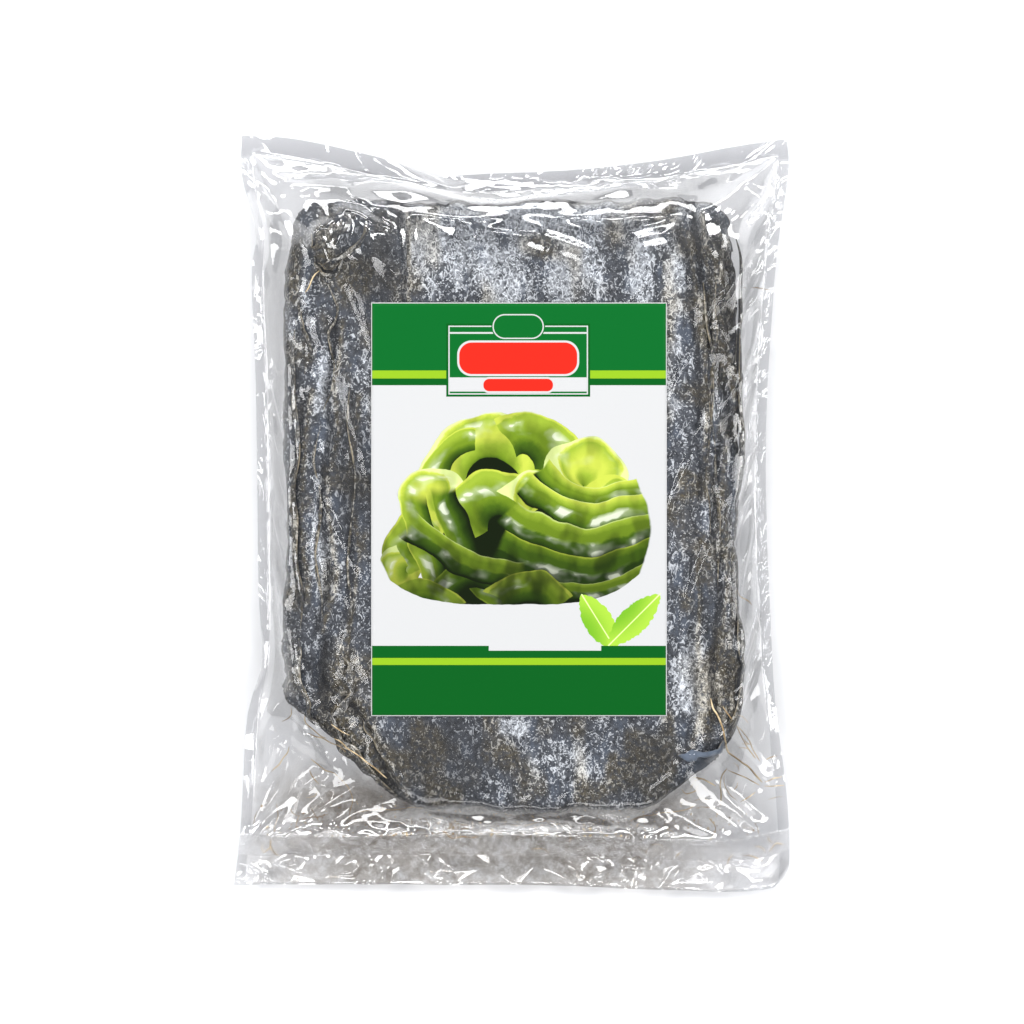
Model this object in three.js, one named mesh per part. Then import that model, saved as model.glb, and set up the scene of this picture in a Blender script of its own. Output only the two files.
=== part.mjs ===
// A sealed clear bag holding a pressed block of dried kelp, lying on its back with its paper label up.
// Millimetres, +Z up. +X runs across the bag and +Y towards its top seal. The origin is on the surface
// that the bag lies on, under the middle of the bag's outline.
import * as THREE from "three";

// The pressed block, seen from above: a rectangle whose two lower corners have crumbled away.
const BLOCK_WIDTH = 228;
const BLOCK_LENGTH = 304;
const BLOCK_CENTRE_Y = 5;
const BLOCK_CORNER_RADIUS = 16;
const LOWER_LEFT_CHAMFER = [50, 48];
const LOWER_RIGHT_CHAMFER = [36, 26];

// Heights above the surface, with the film drawn tight over the block.
const BLOCK_HEIGHT = 42;
const SHOULDER_DROP = 8;
const SHOULDER_WIDTH = 24;
const FOOT_RISE = 4;
const FOOT_WIDTH = 9;
const SWELL = 0.6;
const SWELL_LENGTH = 150;

// The film margin round the block. The two webs meet in the rim, which sags towards the corners.
const RIM_HEIGHT = 16;
const RIM_SAG_AT_ENDS = 4;
const RIM_SAG_AT_CORNERS = 6;
const RIM_THICKNESS = 1.2;
const FOLD_HEIGHT = 3;
const FOLD_WIDTH = 11;

// The paper label, stuck on the film over the block.
const LABEL_WIDTH = 148;
const LABEL_LENGTH = 207;
const LABEL_CENTRE = [3.5, 2.5];
const LABEL_THICKNESS = 0.4;
const LABEL_GAP = 0.45;

// How finely the two pieces are divided.
const BAG_COLUMNS = 30;
const BAG_ROWS = 38;
const LABEL_COLUMNS = 12;
const LABEL_ROWS = 16;

// The bag's outline, as drawn in by the block: each edge runs between two corners, left to right or
// bottom to top. The top edge dips where the film climbs over the block, and both sides are waisted.
const BOTTOM_EDGE = [
  [-141, -188],
  [-60, -187.5],
  [20, -188],
  [85, -190.5],
  [120, -191.5],
  [133, -190],
];
const TOP_EDGE = [
  [-136.5, 191.5],
  [-113, 190],
  [-89, 185.5],
  [-55, 177],
  [-38, 171],
  [-20, 172],
  [22, 173.5],
  [52, 176],
  [81, 180],
  [110, 185.5],
  [139, 190],
];
const LEFT_EDGE = [
  [-141, -188],
  [-137.5, -158],
  [-133, -97],
  [-127, -78],
  [-128, -39],
  [-129.5, 69],
  [-131.5, 125],
  [-129.5, 141],
  [-136.5, 172],
  [-136.5, 191.5],
];
const RIGHT_EDGE = [
  [133, -190],
  [140, -183],
  [141, -172],
  [139, -140],
  [133, -94],
  [130, -39],
  [128.5, 0],
  [128.5, 48],
  [130.5, 88],
  [134.5, 137],
  [140, 176],
  [139, 190],
];

const edgeCurve = (points) =>
  new THREE.CatmullRomCurve3(points.map(([x, y]) => new THREE.Vector3(x, y, 0)));

const edges = {
  bottom: edgeCurve(BOTTOM_EDGE),
  top: edgeCurve(TOP_EDGE),
  left: edgeCurve(LEFT_EDGE),
  right: edgeCurve(RIGHT_EDGE),
};

// A point of the bag seen from above: across and along run from 0 to 1 between the four edges.
function planPoint(across, along) {
  const corner = (edge, end) => edges[edge].getPointAt(end);
  const between = (a, b, share) => a.clone().lerp(b, share);
  const fromEnds = between(edges.bottom.getPointAt(across), edges.top.getPointAt(across), along);
  const fromSides = between(edges.left.getPointAt(along), edges.right.getPointAt(along), across);
  const fromCorners = between(
    between(corner("bottom", 0), corner("bottom", 1), across),
    between(corner("top", 0), corner("top", 1), across),
    along,
  );
  return fromEnds.add(fromSides).sub(fromCorners);
}

// The block's corners in order, from its lower left chamfer round to its upper left corner, drawn in by
// the corner radius that is added again in blockDistance.
function blockCorners() {
  const x = BLOCK_WIDTH / 2 - BLOCK_CORNER_RADIUS;
  const top = BLOCK_CENTRE_Y + BLOCK_LENGTH / 2 - BLOCK_CORNER_RADIUS;
  const bottom = BLOCK_CENTRE_Y - BLOCK_LENGTH / 2 + BLOCK_CORNER_RADIUS;
  const [leftAcross, leftUp] = LOWER_LEFT_CHAMFER;
  const [rightAcross, rightUp] = LOWER_RIGHT_CHAMFER;
  return [
    new THREE.Vector2(-x, bottom + leftUp),
    new THREE.Vector2(-x + leftAcross, bottom),
    new THREE.Vector2(x - rightAcross, bottom),
    new THREE.Vector2(x, bottom + rightUp),
    new THREE.Vector2(x, top),
    new THREE.Vector2(-x, top),
  ];
}

const corners = blockCorners();

// The distance from a point to the stretch from a to b.
function distanceToStretch(point, a, b) {
  const along = b.clone().sub(a);
  const share = point.clone().sub(a).dot(along) / along.lengthSq();
  return point.distanceTo(a.clone().addScaledVector(along, THREE.MathUtils.clamp(share, 0, 1)));
}

// How far a point lies outside the block's plan. It is negative inside.
function blockDistance(point) {
  const sides = corners.map((a, i) => [a, corners[(i + 1) % corners.length]]);
  const inside = sides.every(([a, b]) => b.clone().sub(a).cross(point.clone().sub(a)) > 0);
  const nearest = Math.min(...sides.map(([a, b]) => distanceToStretch(point, a, b)));
  return (inside ? -nearest : nearest) - BLOCK_CORNER_RADIUS;
}

// The gentle swell of the pressed block's top.
const swell = (x, y) =>
  SWELL * Math.sin((2 * Math.PI * (x + 0.4 * y)) / SWELL_LENGTH) * Math.cos((Math.PI * y) / SWELL_LENGTH);

// The rim's height, with u and v from -1 to 1 across and along the bag.
const rimHeight = (u, v) => RIM_HEIGHT - RIM_SAG_AT_ENDS * v ** 4 - RIM_SAG_AT_CORNERS * u ** 4 * v ** 4;

// The folds that run from the block's four corners out to the bag's. A lower fold starts in the middle of
// the crumbled corner.
function foldLines() {
  const [leftHigh, leftLow, rightLow, rightHigh, topRight, topLeft] = corners;
  const middle = (a, b) => a.clone().lerp(b, 0.5);
  const bagCorner = (edge, end) => {
    const { x, y } = edges[edge].getPointAt(end);
    return new THREE.Vector2(x, y);
  };
  return [
    [topLeft, bagCorner("top", 0)],
    [topRight, bagCorner("top", 1)],
    [middle(leftHigh, leftLow), bagCorner("bottom", 0)],
    [middle(rightLow, rightHigh), bagCorner("bottom", 1)],
  ];
}

const folds = foldLines();

// How much the nearest fold lifts the film at a point.
function foldLift(point) {
  const nearest = Math.min(...folds.map(([a, b]) => distanceToStretch(point, a, b)));
  return FOLD_HEIGHT * Math.max(0, 1 - nearest / FOLD_WIDTH);
}

// The heights of the bag's upper and lower web at a point. share runs from 0 at the block to 1 at the rim.
function webHeights(point, share, rim) {
  const distance = blockDistance(point);
  if (distance < 0) {
    const shoulder = Math.max(0, 1 + distance / SHOULDER_WIDTH);
    const foot = Math.max(0, 1 + distance / FOOT_WIDTH);
    return {
      upper: BLOCK_HEIGHT + swell(point.x, point.y) - SHOULDER_DROP * shoulder ** 2,
      lower: FOOT_RISE * foot ** 2,
    };
  }
  const shoulderHeight = BLOCK_HEIGHT + swell(point.x, point.y) - SHOULDER_DROP;
  const lift = foldLift(point) * share * (1 - share) * 4;
  const spread = RIM_THICKNESS / 2;
  return {
    upper: THREE.MathUtils.lerp(shoulderHeight, rim + spread, share ** 0.8) + lift,
    lower: THREE.MathUtils.lerp(FOOT_RISE, rim - spread, share ** 0.8) - lift / 2,
  };
}

// Divisions crowd towards the rim, where the film falls from the block.
const crowd = (t) => 1.35 * t - 0.35 * t ** 3;

// How far a point lies inside the bag's outline.
const outline = Object.values(edges).flatMap((edge) => edge.getSpacedPoints(80));
const outlineDistance = (point) =>
  Math.min(...outline.map((p) => Math.hypot(p.x - point.x, p.y - point.y)));

// The bag with what it holds, as one closed body: a box whose upper and lower faces become the two webs.
function makeBag() {
  const geometry = new THREE.BoxGeometry(2, 2, 2, BAG_COLUMNS, BAG_ROWS, 1);
  const position = geometry.getAttribute("position");
  for (let i = 0; i < position.count; i += 1) {
    const u = crowd(position.getX(i));
    const v = crowd(position.getY(i));
    const plan = planPoint((u + 1) / 2, (v + 1) / 2);
    const point = new THREE.Vector2(plan.x, plan.y);
    const outside = Math.max(0, blockDistance(point));
    const onRim = Math.max(Math.abs(u), Math.abs(v)) > 0.9999;
    const share = onRim ? 1 : outside / (outside + outlineDistance(point));
    const heights = webHeights(point, share, rimHeight(u, v));
    position.setXYZ(i, plan.x, plan.y, position.getZ(i) > 0 ? heights.upper : heights.lower);
  }
  const material = new THREE.MeshStandardMaterial({ color: 0x565a5e, roughness: 0.35, metalness: 0 });
  const bag = new THREE.Mesh(geometry, material);
  bag.name = "bag";
  return bag;
}

// The label: a sheet of paper that follows the swell of the block under it.
function makeLabel() {
  const geometry = new THREE.BoxGeometry(
    LABEL_WIDTH,
    LABEL_LENGTH,
    LABEL_THICKNESS,
    LABEL_COLUMNS,
    LABEL_ROWS,
    1,
  );
  const [centreX, centreY] = LABEL_CENTRE;
  const middle = BLOCK_HEIGHT + LABEL_GAP + LABEL_THICKNESS / 2;
  geometry.translate(centreX, centreY, middle);
  const position = geometry.getAttribute("position");
  for (let i = 0; i < position.count; i += 1) {
    position.setZ(i, position.getZ(i) + swell(position.getX(i), position.getY(i)));
  }
  const material = new THREE.MeshStandardMaterial({ color: 0x0f7a30, roughness: 0.4, metalness: 0 });
  const label = new THREE.Mesh(geometry, material);
  label.name = "label";
  return label;
}

// The origin goes under the middle of the whole pack.
const pack = new THREE.Group();
pack.add(makeBag(), makeLabel());
const box = new THREE.Box3().setFromObject(pack);
const middle = box.getCenter(new THREE.Vector3());
pack.position.set(-middle.x, -middle.y, -box.min.z);

export default pack;
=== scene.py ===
# A clear heat-sealed bag that holds a pressed block of dried kelp, lying on its back with its label up.
# Lengths are in millimetres until a mesh is made. +X runs across the bag and +Y towards its top seal.
import math

import bpy
import numpy as np
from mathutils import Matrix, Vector
from mathutils.bvhtree import BVHTree


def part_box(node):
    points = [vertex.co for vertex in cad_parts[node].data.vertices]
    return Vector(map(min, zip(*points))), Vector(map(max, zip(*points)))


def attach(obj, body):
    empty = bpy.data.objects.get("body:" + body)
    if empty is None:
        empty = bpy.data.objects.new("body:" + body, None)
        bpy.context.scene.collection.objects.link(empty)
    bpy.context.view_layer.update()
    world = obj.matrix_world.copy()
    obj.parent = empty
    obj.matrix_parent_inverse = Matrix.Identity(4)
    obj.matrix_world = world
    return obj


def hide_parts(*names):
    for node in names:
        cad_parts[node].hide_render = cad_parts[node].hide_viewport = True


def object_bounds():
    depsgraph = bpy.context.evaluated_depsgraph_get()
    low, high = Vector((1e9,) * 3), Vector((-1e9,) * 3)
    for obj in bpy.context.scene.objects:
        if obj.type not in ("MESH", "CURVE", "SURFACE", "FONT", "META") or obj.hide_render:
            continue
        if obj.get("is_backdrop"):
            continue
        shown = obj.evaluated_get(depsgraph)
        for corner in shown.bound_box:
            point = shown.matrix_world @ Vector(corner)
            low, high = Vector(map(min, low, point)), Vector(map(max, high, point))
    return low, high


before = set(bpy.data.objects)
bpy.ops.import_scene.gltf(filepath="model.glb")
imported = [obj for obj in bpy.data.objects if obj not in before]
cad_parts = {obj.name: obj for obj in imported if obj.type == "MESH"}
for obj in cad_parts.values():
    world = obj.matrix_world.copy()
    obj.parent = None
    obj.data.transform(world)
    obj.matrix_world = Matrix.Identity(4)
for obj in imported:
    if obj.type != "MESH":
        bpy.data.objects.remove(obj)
cad_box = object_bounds()

# ---------------------------------------------------------------------------------------------------------
# Camera. The pack lies down with its label up, so the camera stands straight above the middle of it,
# far enough away for the bag's sides to look parallel.
# ---------------------------------------------------------------------------------------------------------
CAMERA_DISTANCE = 2.4
VIEW_WIDTH = 0.517
PACK_BELOW_CENTRE = 0.0012

pack_low, pack_high = (Vector(corner) for corner in cad_box)
pack_middle = (pack_low + pack_high) / 2
camera_data = bpy.data.cameras.new("camera")
camera_data.lens = camera_data.sensor_width * CAMERA_DISTANCE / VIEW_WIDTH
camera = bpy.data.objects.new("camera", camera_data)
camera.location = pack_middle + Vector((0, PACK_BELOW_CENTRE, CAMERA_DISTANCE))
bpy.context.scene.collection.objects.link(camera)
bpy.context.scene.camera = camera

# ---------------------------------------------------------------------------------------------------------
# Kelp block. Long dried fronds folded over and over and pressed into a slab of a dozen layers. The top
# frond is wrinkled lengthwise, crusted with white sea salt, and browner where its ridges have been rubbed.
# ---------------------------------------------------------------------------------------------------------
MM = 0.001
BLOCK_TOP = 40.3
EDGE_DROP = 7.0
EDGE_ROUNDING = 12.0
BLOCK_INSET = -0.6
TOP_STEP = 1.25
LAYERS = 12
LAYER_RINGS = 4
LAYER_BULGE = 1.5
UNDERSIDE = 0.6


def lumps(x, y, across, along, seed):
    """Smooth uneven ground from -1 to 1, with lumps that measure across by along."""
    size = 64
    heights = np.random.default_rng(seed).uniform(-1, 1, (size, size))
    turn = 0.37 + seed
    u = x / across + 0.11 * y / along * math.cos(turn) + 19.3
    v = y / along + 0.11 * x / across * math.sin(turn) + 23.9
    i = np.floor(u).astype(int)
    j = np.floor(v).astype(int)
    s = u - i
    t = v - j
    s = s * s * s * (s * (s * 6 - 15) + 10)
    t = t * t * t * (t * (t * 6 - 15) + 10)
    near = heights[i % size, j % size] * (1 - s) + heights[(i + 1) % size, j % size] * s
    far = heights[i % size, (j + 1) % size] * (1 - s) + heights[(i + 1) % size, (j + 1) % size] * s
    return near * (1 - t) + far * t


def ease(value, start, end):
    """0 before start, 1 after end, smooth between."""
    t = np.clip((value - start) / (end - start), 0, 1)
    return t * t * (3 - 2 * t)


bag_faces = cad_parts["bag"].data
bag_solid = BVHTree.FromPolygons(
    [v.co.copy() for v in bag_faces.vertices],
    [tuple(p.vertices) for p in bag_faces.polygons],
)


def solid_height(x, y):
    """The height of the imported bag's upper face over a point, or 0 beside it."""
    hit = bag_solid.ray_cast(Vector((x * MM, y * MM, 1)), Vector((0, 0, -1)))
    return hit[0].z / MM if hit[0] else 0.0


def find_block_outline(points=300):
    """The outline of the block in the bag: where the film's upper face starts to fall to the rim."""
    shoulder_height = 0.8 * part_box("bag")[1].z / MM
    outline = []
    for angle in np.linspace(0, 2 * math.pi, points, endpoint=False):
        inner, outer = 60.0, 200.0
        for _ in range(12):
            radius = (inner + outer) / 2
            if solid_height(radius * math.cos(angle), radius * math.sin(angle)) > shoulder_height:
                inner = radius
            else:
                outer = radius
        outline.append((inner * math.cos(angle), inner * math.sin(angle)))
    return np.array(outline)


block_outline = find_block_outline()


def outline_distance(x, y, outline):
    """How far points lie outside a closed outline. It is negative inside."""
    shape = np.shape(x)
    points = np.stack([np.ravel(x), np.ravel(y)], 1)
    nearest = np.full(len(points), 1e9)
    crossings = np.zeros(len(points), int)
    for a, b in zip(outline, np.roll(outline, -1, 0)):
        side = b - a
        share = np.clip(((points - a) @ side) / (side @ side), 0, 1)
        gap = points - a - share[:, None] * side
        nearest = np.minimum(nearest, (gap**2).sum(1))
        if a[1] != b[1]:
            spans = (a[1] > points[:, 1]) != (b[1] > points[:, 1])
            crossing = a[0] + (points[:, 1] - a[1]) / (b[1] - a[1]) * side[0]
            crossings += spans & (points[:, 0] < crossing)
    distance = np.sqrt(nearest) * np.where(crossings % 2 == 1, -1, 1)
    return distance.reshape(shape)


# The plan of the block's surroundings as a chart of distances, read again wherever they are needed.
CHART_STEP = 1.0
# Where the block's outline draws in, by its right side and at its upper left corner: the middle of each
# hollow, its half size across and along, and how deep it is.
HOLLOWS = [((116, 132), (14, 36), 4.5), ((-112, 146), (16, 18), 4.0)]
chart_x = np.arange(-160, 161, CHART_STEP)
chart_y = np.arange(-210, 211, CHART_STEP)
chart_points = np.meshgrid(chart_x, chart_y)
chart_distance = outline_distance(*chart_points, block_outline) + BLOCK_INSET
chart_distance += 1.7 * lumps(*chart_points, 12, 15, 91)
chart_distance += 0.7 * lumps(*chart_points, 5, 6, 92)
for (hollow_x, hollow_y), (half_width, half_length), depth in HOLLOWS:
    away = np.hypot(*np.meshgrid((chart_x - hollow_x) / half_width, (chart_y - hollow_y) / half_length))
    chart_distance += depth * np.clip(1.4 - away, 0, 1)
chart_slope_y, chart_slope_x = np.gradient(chart_distance, CHART_STEP)


def read_chart(chart, x, y):
    """A chart's value at points, between its grid's own values."""
    u = np.clip((x - chart_x[0]) / CHART_STEP, 0, len(chart_x) - 1.001)
    v = np.clip((y - chart_y[0]) / CHART_STEP, 0, len(chart_y) - 1.001)
    i = u.astype(int)
    j = v.astype(int)
    s = u - i
    t = v - j
    low = chart[j, i] * (1 - s) + chart[j, i + 1] * s
    high = chart[j + 1, i] * (1 - s) + chart[j + 1, i + 1] * s
    return low * (1 - t) + high * t


label_low, label_high = (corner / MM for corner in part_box("label"))


def label_cover(x, y, margin=0.0):
    """How far points lie outside the label's rectangle, less a margin. It is negative under the label."""
    across = np.maximum(label_low.x - x, x - label_high.x)
    along = np.maximum(label_low.y - y, y - label_high.y)
    return np.maximum(across, along) - margin


# Creases pressed into the top frond: each one's route seen from above, its depth and its width.
CREASES = [
    ([(92, 150), (96, 112), (101, 84), (106, 58), (113, 30)], 2.6, 1.9),
    ([(99, 146), (107, 127), (114, 106)], 2.0, 1.6),
    ([(84, 142), (89, 110), (93, 78), (95, 46), (93, 8)], 1.7, 1.6),
    ([(106, 138), (99, 112), (104, 92)], 1.3, 1.3),
    ([(104, 34), (101, -4), (104, -42), (99, -78), (103, -104)], 1.9, 1.7),
    ([(91, -20), (89, -60), (93, -92), (88, -118)], 1.3, 1.5),
    ([(-104, 62), (-107, 38), (-109, -2), (-107, -44)], 2.2, 1.8),
    ([(-88, 96), (-93, 66), (-90, 40), (-95, 8), (-92, -30), (-97, -58)], 1.8, 1.7),
    ([(-80, 60), (-83, 22), (-80, -20), (-84, -62)], 1.1, 1.5),
    ([(-54, 153), (-53, 130), (-54, 104)], 1.6, 1.3),
    ([(-92, -64), (-95, -80), (-93, -98)], 3.2, 3.6),
    ([(-84, -92), (-73, -108), (-64, -126), (-55, -144)], 2.4, 1.9),
]

# Where salt lies thickest: the middle of each patch, and its half size across and along.
SALT_PATCHES = [
    ((-34, 132), (22, 26)),
    ((-5, 124), (16, 34)),
    ((30, 122), (17, 26)),
    ((66, 120), (8, 42)),
    ((80, 96), (7, 60)),
    ((-92, 66), (7, 16)),
    ((-98, -20), (5, 44)),
    ((26, -126), (22, 15)),
    ((0, -110), (9, 12)),
    ((88, -86), (16, 24)),
    ((18, 151), (74, 10)),
]

# Where the frond lies bare, and where it is brown, given in the same way.
BARE_PATCHES = [
    ((-34, -124), (34, 28)),
    ((68, -126), (20, 22)),
    ((-70, 118), (16, 26)),
    ((-80, 20), (12, 40)),
]
BROWN_PATCHES = [
    ((-86, -104), (26, 40)),
    ((-92, 124), (26, 30)),
    ((108, -60), (10, 60)),
    ((-30, -130), (36, 20)),
    ((56, -130), (30, 18)),
]

# Where the smooth bluish end of another frond shows, given in the same way.
SLEEK_PATCHES = [((99, -126), (11, 7))]


def route_distance(x, y, route):
    """How far points lie from a route seen from above."""
    nearest = np.full(np.shape(x), 1e9)
    for (ax, ay), (bx, by) in zip(route, route[1:]):
        length = (bx - ax) ** 2 + (by - ay) ** 2
        share = np.clip(((x - ax) * (bx - ax) + (y - ay) * (by - ay)) / length, 0, 1)
        nearest = np.minimum(nearest, np.hypot(x - ax - share * (bx - ax), y - ay - share * (by - ay)))
    return nearest


def in_patches(x, y, patches):
    """1 in the middle of a patch, falling to 0 beyond its edge."""
    inside = np.zeros(np.shape(x))
    for (middle_x, middle_y), (half_width, half_length) in patches:
        away = np.hypot((x - middle_x) / half_width, (y - middle_y) / half_length)
        inside = np.maximum(inside, 1 - ease(away, 0.35, 1.25))
    return inside


def top_relief(x, y):
    """The height of the block's top, and how salty, brown and shaded it is there."""
    beside = ease(label_cover(x, y), -14, 6)
    sides = ease(np.abs(x - 3), 78, 96)
    warp = 5 * lumps(x, y, 34, 55, 11)
    ridge = 1 - np.abs(lumps(x + warp, y, 7.5, 75, 12))
    fine_ridge = 1 - np.abs(lumps(x + warp, y, 3.2, 26, 13))
    crevice = (1 - np.abs(lumps(x + 1.4 * warp, y, 15, 120, 14))) ** 9
    pits = lumps(x, y, 3.6, 5.2, 15)
    grain = lumps(x, y, 1.7, 2.2, 16)
    height = 0.45 * lumps(x, y, 46, 70, 17) + 0.35 * pits + 0.14 * grain
    height += (0.4 + 0.9 * sides) * beside * (ridge - 0.6)
    height += 0.45 * sides * (fine_ridge - 0.6)
    height -= (0.5 + 1.6 * sides) * beside * crevice
    # The middle frond lies over the left one above the label, and its edge is a step.
    step = ease(x, -53.4, -52.4) * ease(y, 100, 112)
    height += 0.9 * step * (1 - ease(x, -40, 20))
    crusted = in_patches(x, y, SALT_PATCHES)
    streaks = 0.38 * lumps(x + warp, y, 6, 26, 18) + 0.42 * lumps(x, y, 6, 9, 19)
    bare = in_patches(x, y, BARE_PATCHES)
    salt = 0.08 + (0.75 + 0.2 * ease(y, 60, 110)) * crusted - 0.45 * bare + streaks
    browned = 0.9 * in_patches(x, y, BROWN_PATCHES) - 0.2 * crusted
    brown = ease(lumps(x, y, 9, 15, 20) + 0.5 * lumps(x, y, 22, 34, 22) + browned, -0.1, 1.0)
    # Painted shade: the crevices are darkened, more so towards the sides, and the bare patches are painted
    # darker too.
    shade = (0.2 + 0.5 * sides) * beside * crevice + 0.6 * bare
    bend = 1.6 * lumps(x, y, 16, 22, 21)
    for route, depth, width in CREASES:
        near = np.exp(-((route_distance(x + bend, y, route) / width) ** 2))
        beyond = np.exp(-(((route_distance(x + bend - 2.2 * width, y, route)) / width) ** 2))
        height = height - depth * near + 0.35 * depth * beyond
        # Painted shade along each crease's floor.
        shade = np.maximum(shade, near * min(1, 0.3 + 0.3 * depth))
        salt = salt + 0.2 * beyond
        brown = np.maximum(brown, beyond)
    distance = read_chart(chart_distance, x, y)
    rounding = EDGE_ROUNDING * (1 + 0.45 * lumps(x, y, 34, 38, 23))
    edge = np.clip(1 + distance / rounding, 0, 1) ** 2
    drop = EDGE_DROP * (1 + 0.35 * lumps(x, y, 26, 30, 24))
    return BLOCK_TOP + height * (1 - 0.5 * edge) - drop * edge, salt, brown, shade


def add_mesh(name, points, faces, smooth=True):
    """A new mesh object, from points in millimetres."""
    mesh = bpy.data.meshes.new(name)
    mesh.from_pydata((np.asarray(points) * MM).tolist(), [], [list(map(int, f)) for f in faces])
    mesh.polygons.foreach_set("use_smooth", [smooth] * len(mesh.polygons))
    mesh.update()
    made = bpy.data.objects.new(name, mesh)
    bpy.context.scene.collection.objects.link(made)
    return made


def paint(piece, name, values):
    """Keeps a number for each vertex, for the piece's material to read."""
    held = piece.data.attributes.new(name, "FLOAT", "POINT")
    held.data.foreach_set("value", np.asarray(values, np.float32))


def follow_loop(edges):
    """Puts directed edges end to end, from the first one's start."""
    onward = dict(edges)
    loop = [edges[0][0]]
    while onward[loop[-1]] != loop[0]:
        loop.append(onward[loop[-1]])
    return loop


def join_rings(first, second):
    """The faces between two closed rings of points, given by their numbers."""
    return np.stack([first, second, np.roll(second, -1), np.roll(first, -1)], 1).tolist()


def make_block():
    """The pressed slab: a wrinkled top on a square grid, layered sides and a plain underside."""
    xs = np.arange(-130, 131, TOP_STEP)
    ys = np.arange(-170, 176, TOP_STEP)
    x, y = np.meshgrid(xs, ys)
    distance = read_chart(chart_distance, x, y)
    inside = distance < -0.3 * TOP_STEP
    cell = inside[:-1, :-1] & inside[1:, :-1] & inside[:-1, 1:] & inside[1:, 1:]
    around = np.zeros(x.shape, int)
    for rows in (slice(0, -1), slice(1, None)):
        for columns in (slice(0, -1), slice(1, None)):
            around[rows, columns] += cell
    border = (around > 0) & (around < 4)
    slope_x = read_chart(chart_slope_x, x, y)
    slope_y = read_chart(chart_slope_y, x, y)
    x = np.where(border, x - distance * slope_x, x)
    y = np.where(border, y - distance * slope_y, y)
    used = around > 0
    number = np.full(x.shape, -1)
    number[used] = np.arange(used.sum())
    a, b = number[:-1, :-1][cell], number[:-1, 1:][cell]
    c, d = number[1:, 1:][cell], number[1:, :-1][cell]
    faces = np.stack([a, b, c, d], 1).tolist()
    sides = {}
    for face in faces:
        for start, end in zip(face, face[1:] + face[:1]):
            if (end, start) in sides:
                del sides[(end, start)]
            else:
                sides[(start, end)] = True
    loop = np.array(follow_loop(list(sides)))
    x, y = x[used], y[used]
    z, salt, brown, shade = top_relief(x, y)
    points = [np.stack([x, y, z], 1)]
    tones = [np.stack([salt, brown, shade], 1)]
    rim = points[0][loop]
    along = np.roll(rim, -3, 0) - np.roll(rim, 3, 0)
    outward = np.stack([along[:, 1], -along[:, 0]], 1)
    outward /= np.linalg.norm(outward, axis=1)[:, None]
    walk = np.cumsum(np.linalg.norm(rim - np.roll(rim, 1, 0), axis=1))
    previous = loop
    count = len(x)
    for ring in range(LAYERS * LAYER_RINGS):
        layer, place = divmod(ring, LAYER_RINGS)
        share = (place + 0.5) / LAYER_RINGS
        bulge = LAYER_BULGE * math.sqrt(1 - (2 * share - 1) ** 2)
        uneven = 1.5 * lumps(walk, walk * 0 + 9 * layer, 24, 7, 31)
        uneven = uneven + 0.4 * lumps(walk, walk * 0 + ring, 5, 2, 32)
        out = bulge - 1.0 + uneven * min(1, (ring + 1) / 6)
        depth = (layer + share) / LAYERS
        rise = 0.7 * lumps(walk, walk * 0 + 5 * layer, 30, 6, 33) * math.sin(math.pi * depth)
        ring_points = np.empty_like(rim)
        ring_points[:, :2] = rim[:, :2] + outward * out[:, None]
        ring_points[:, 2] = rim[:, 2] * (1 - depth) + 1.2 * depth + rise
        points.append(ring_points)
        # The layered sides are painted in shade, darkest in the clefts between the layers.
        cleft = np.full(len(loop), abs(2 * share - 1) ** 3)
        tones.append(np.stack([0.1 + 0.15 * uneven, np.full(len(loop), 0.75), 0.35 + 0.6 * cleft], 1))
        current = count + np.arange(len(loop))
        faces += join_rings(previous, current)
        previous = current
        count += len(loop)
    for inner in (0.97, 0.8, 0.55, 0.25):
        ring_points = rim * [inner, inner, 0] + [0, 0, UNDERSIDE]
        ring_points[:, 2] += 0.25 * lumps(ring_points[:, 0], ring_points[:, 1], 12, 30, 34)
        points.append(ring_points)
        # The underside is painted with a little shade.
        tones.append(np.tile([0.4, 0.4, 0.1], (len(loop), 1)))
        current = count + np.arange(len(loop))
        faces += join_rings(previous, current)
        previous = current
        count += len(loop)
    points.append(rim.mean(0, keepdims=True) * [1, 1, 0] + [0, 0, UNDERSIDE])
    tones.append(np.array([[0.4, 0.4, 0.1]]))
    faces += [[a, count, b] for a, b in zip(previous, np.roll(previous, -1))]
    block = add_mesh("kelp_block", np.concatenate(points), faces)
    for name, values in zip(("salt", "brown", "shade"), np.concatenate(tones).T):
        paint(block, name, values)
    x, y, z = np.concatenate(points).T
    paint(block, "sleek", in_patches(x, y, SLEEK_PATCHES) * (z > BLOCK_TOP / 2))
    return block


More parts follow.
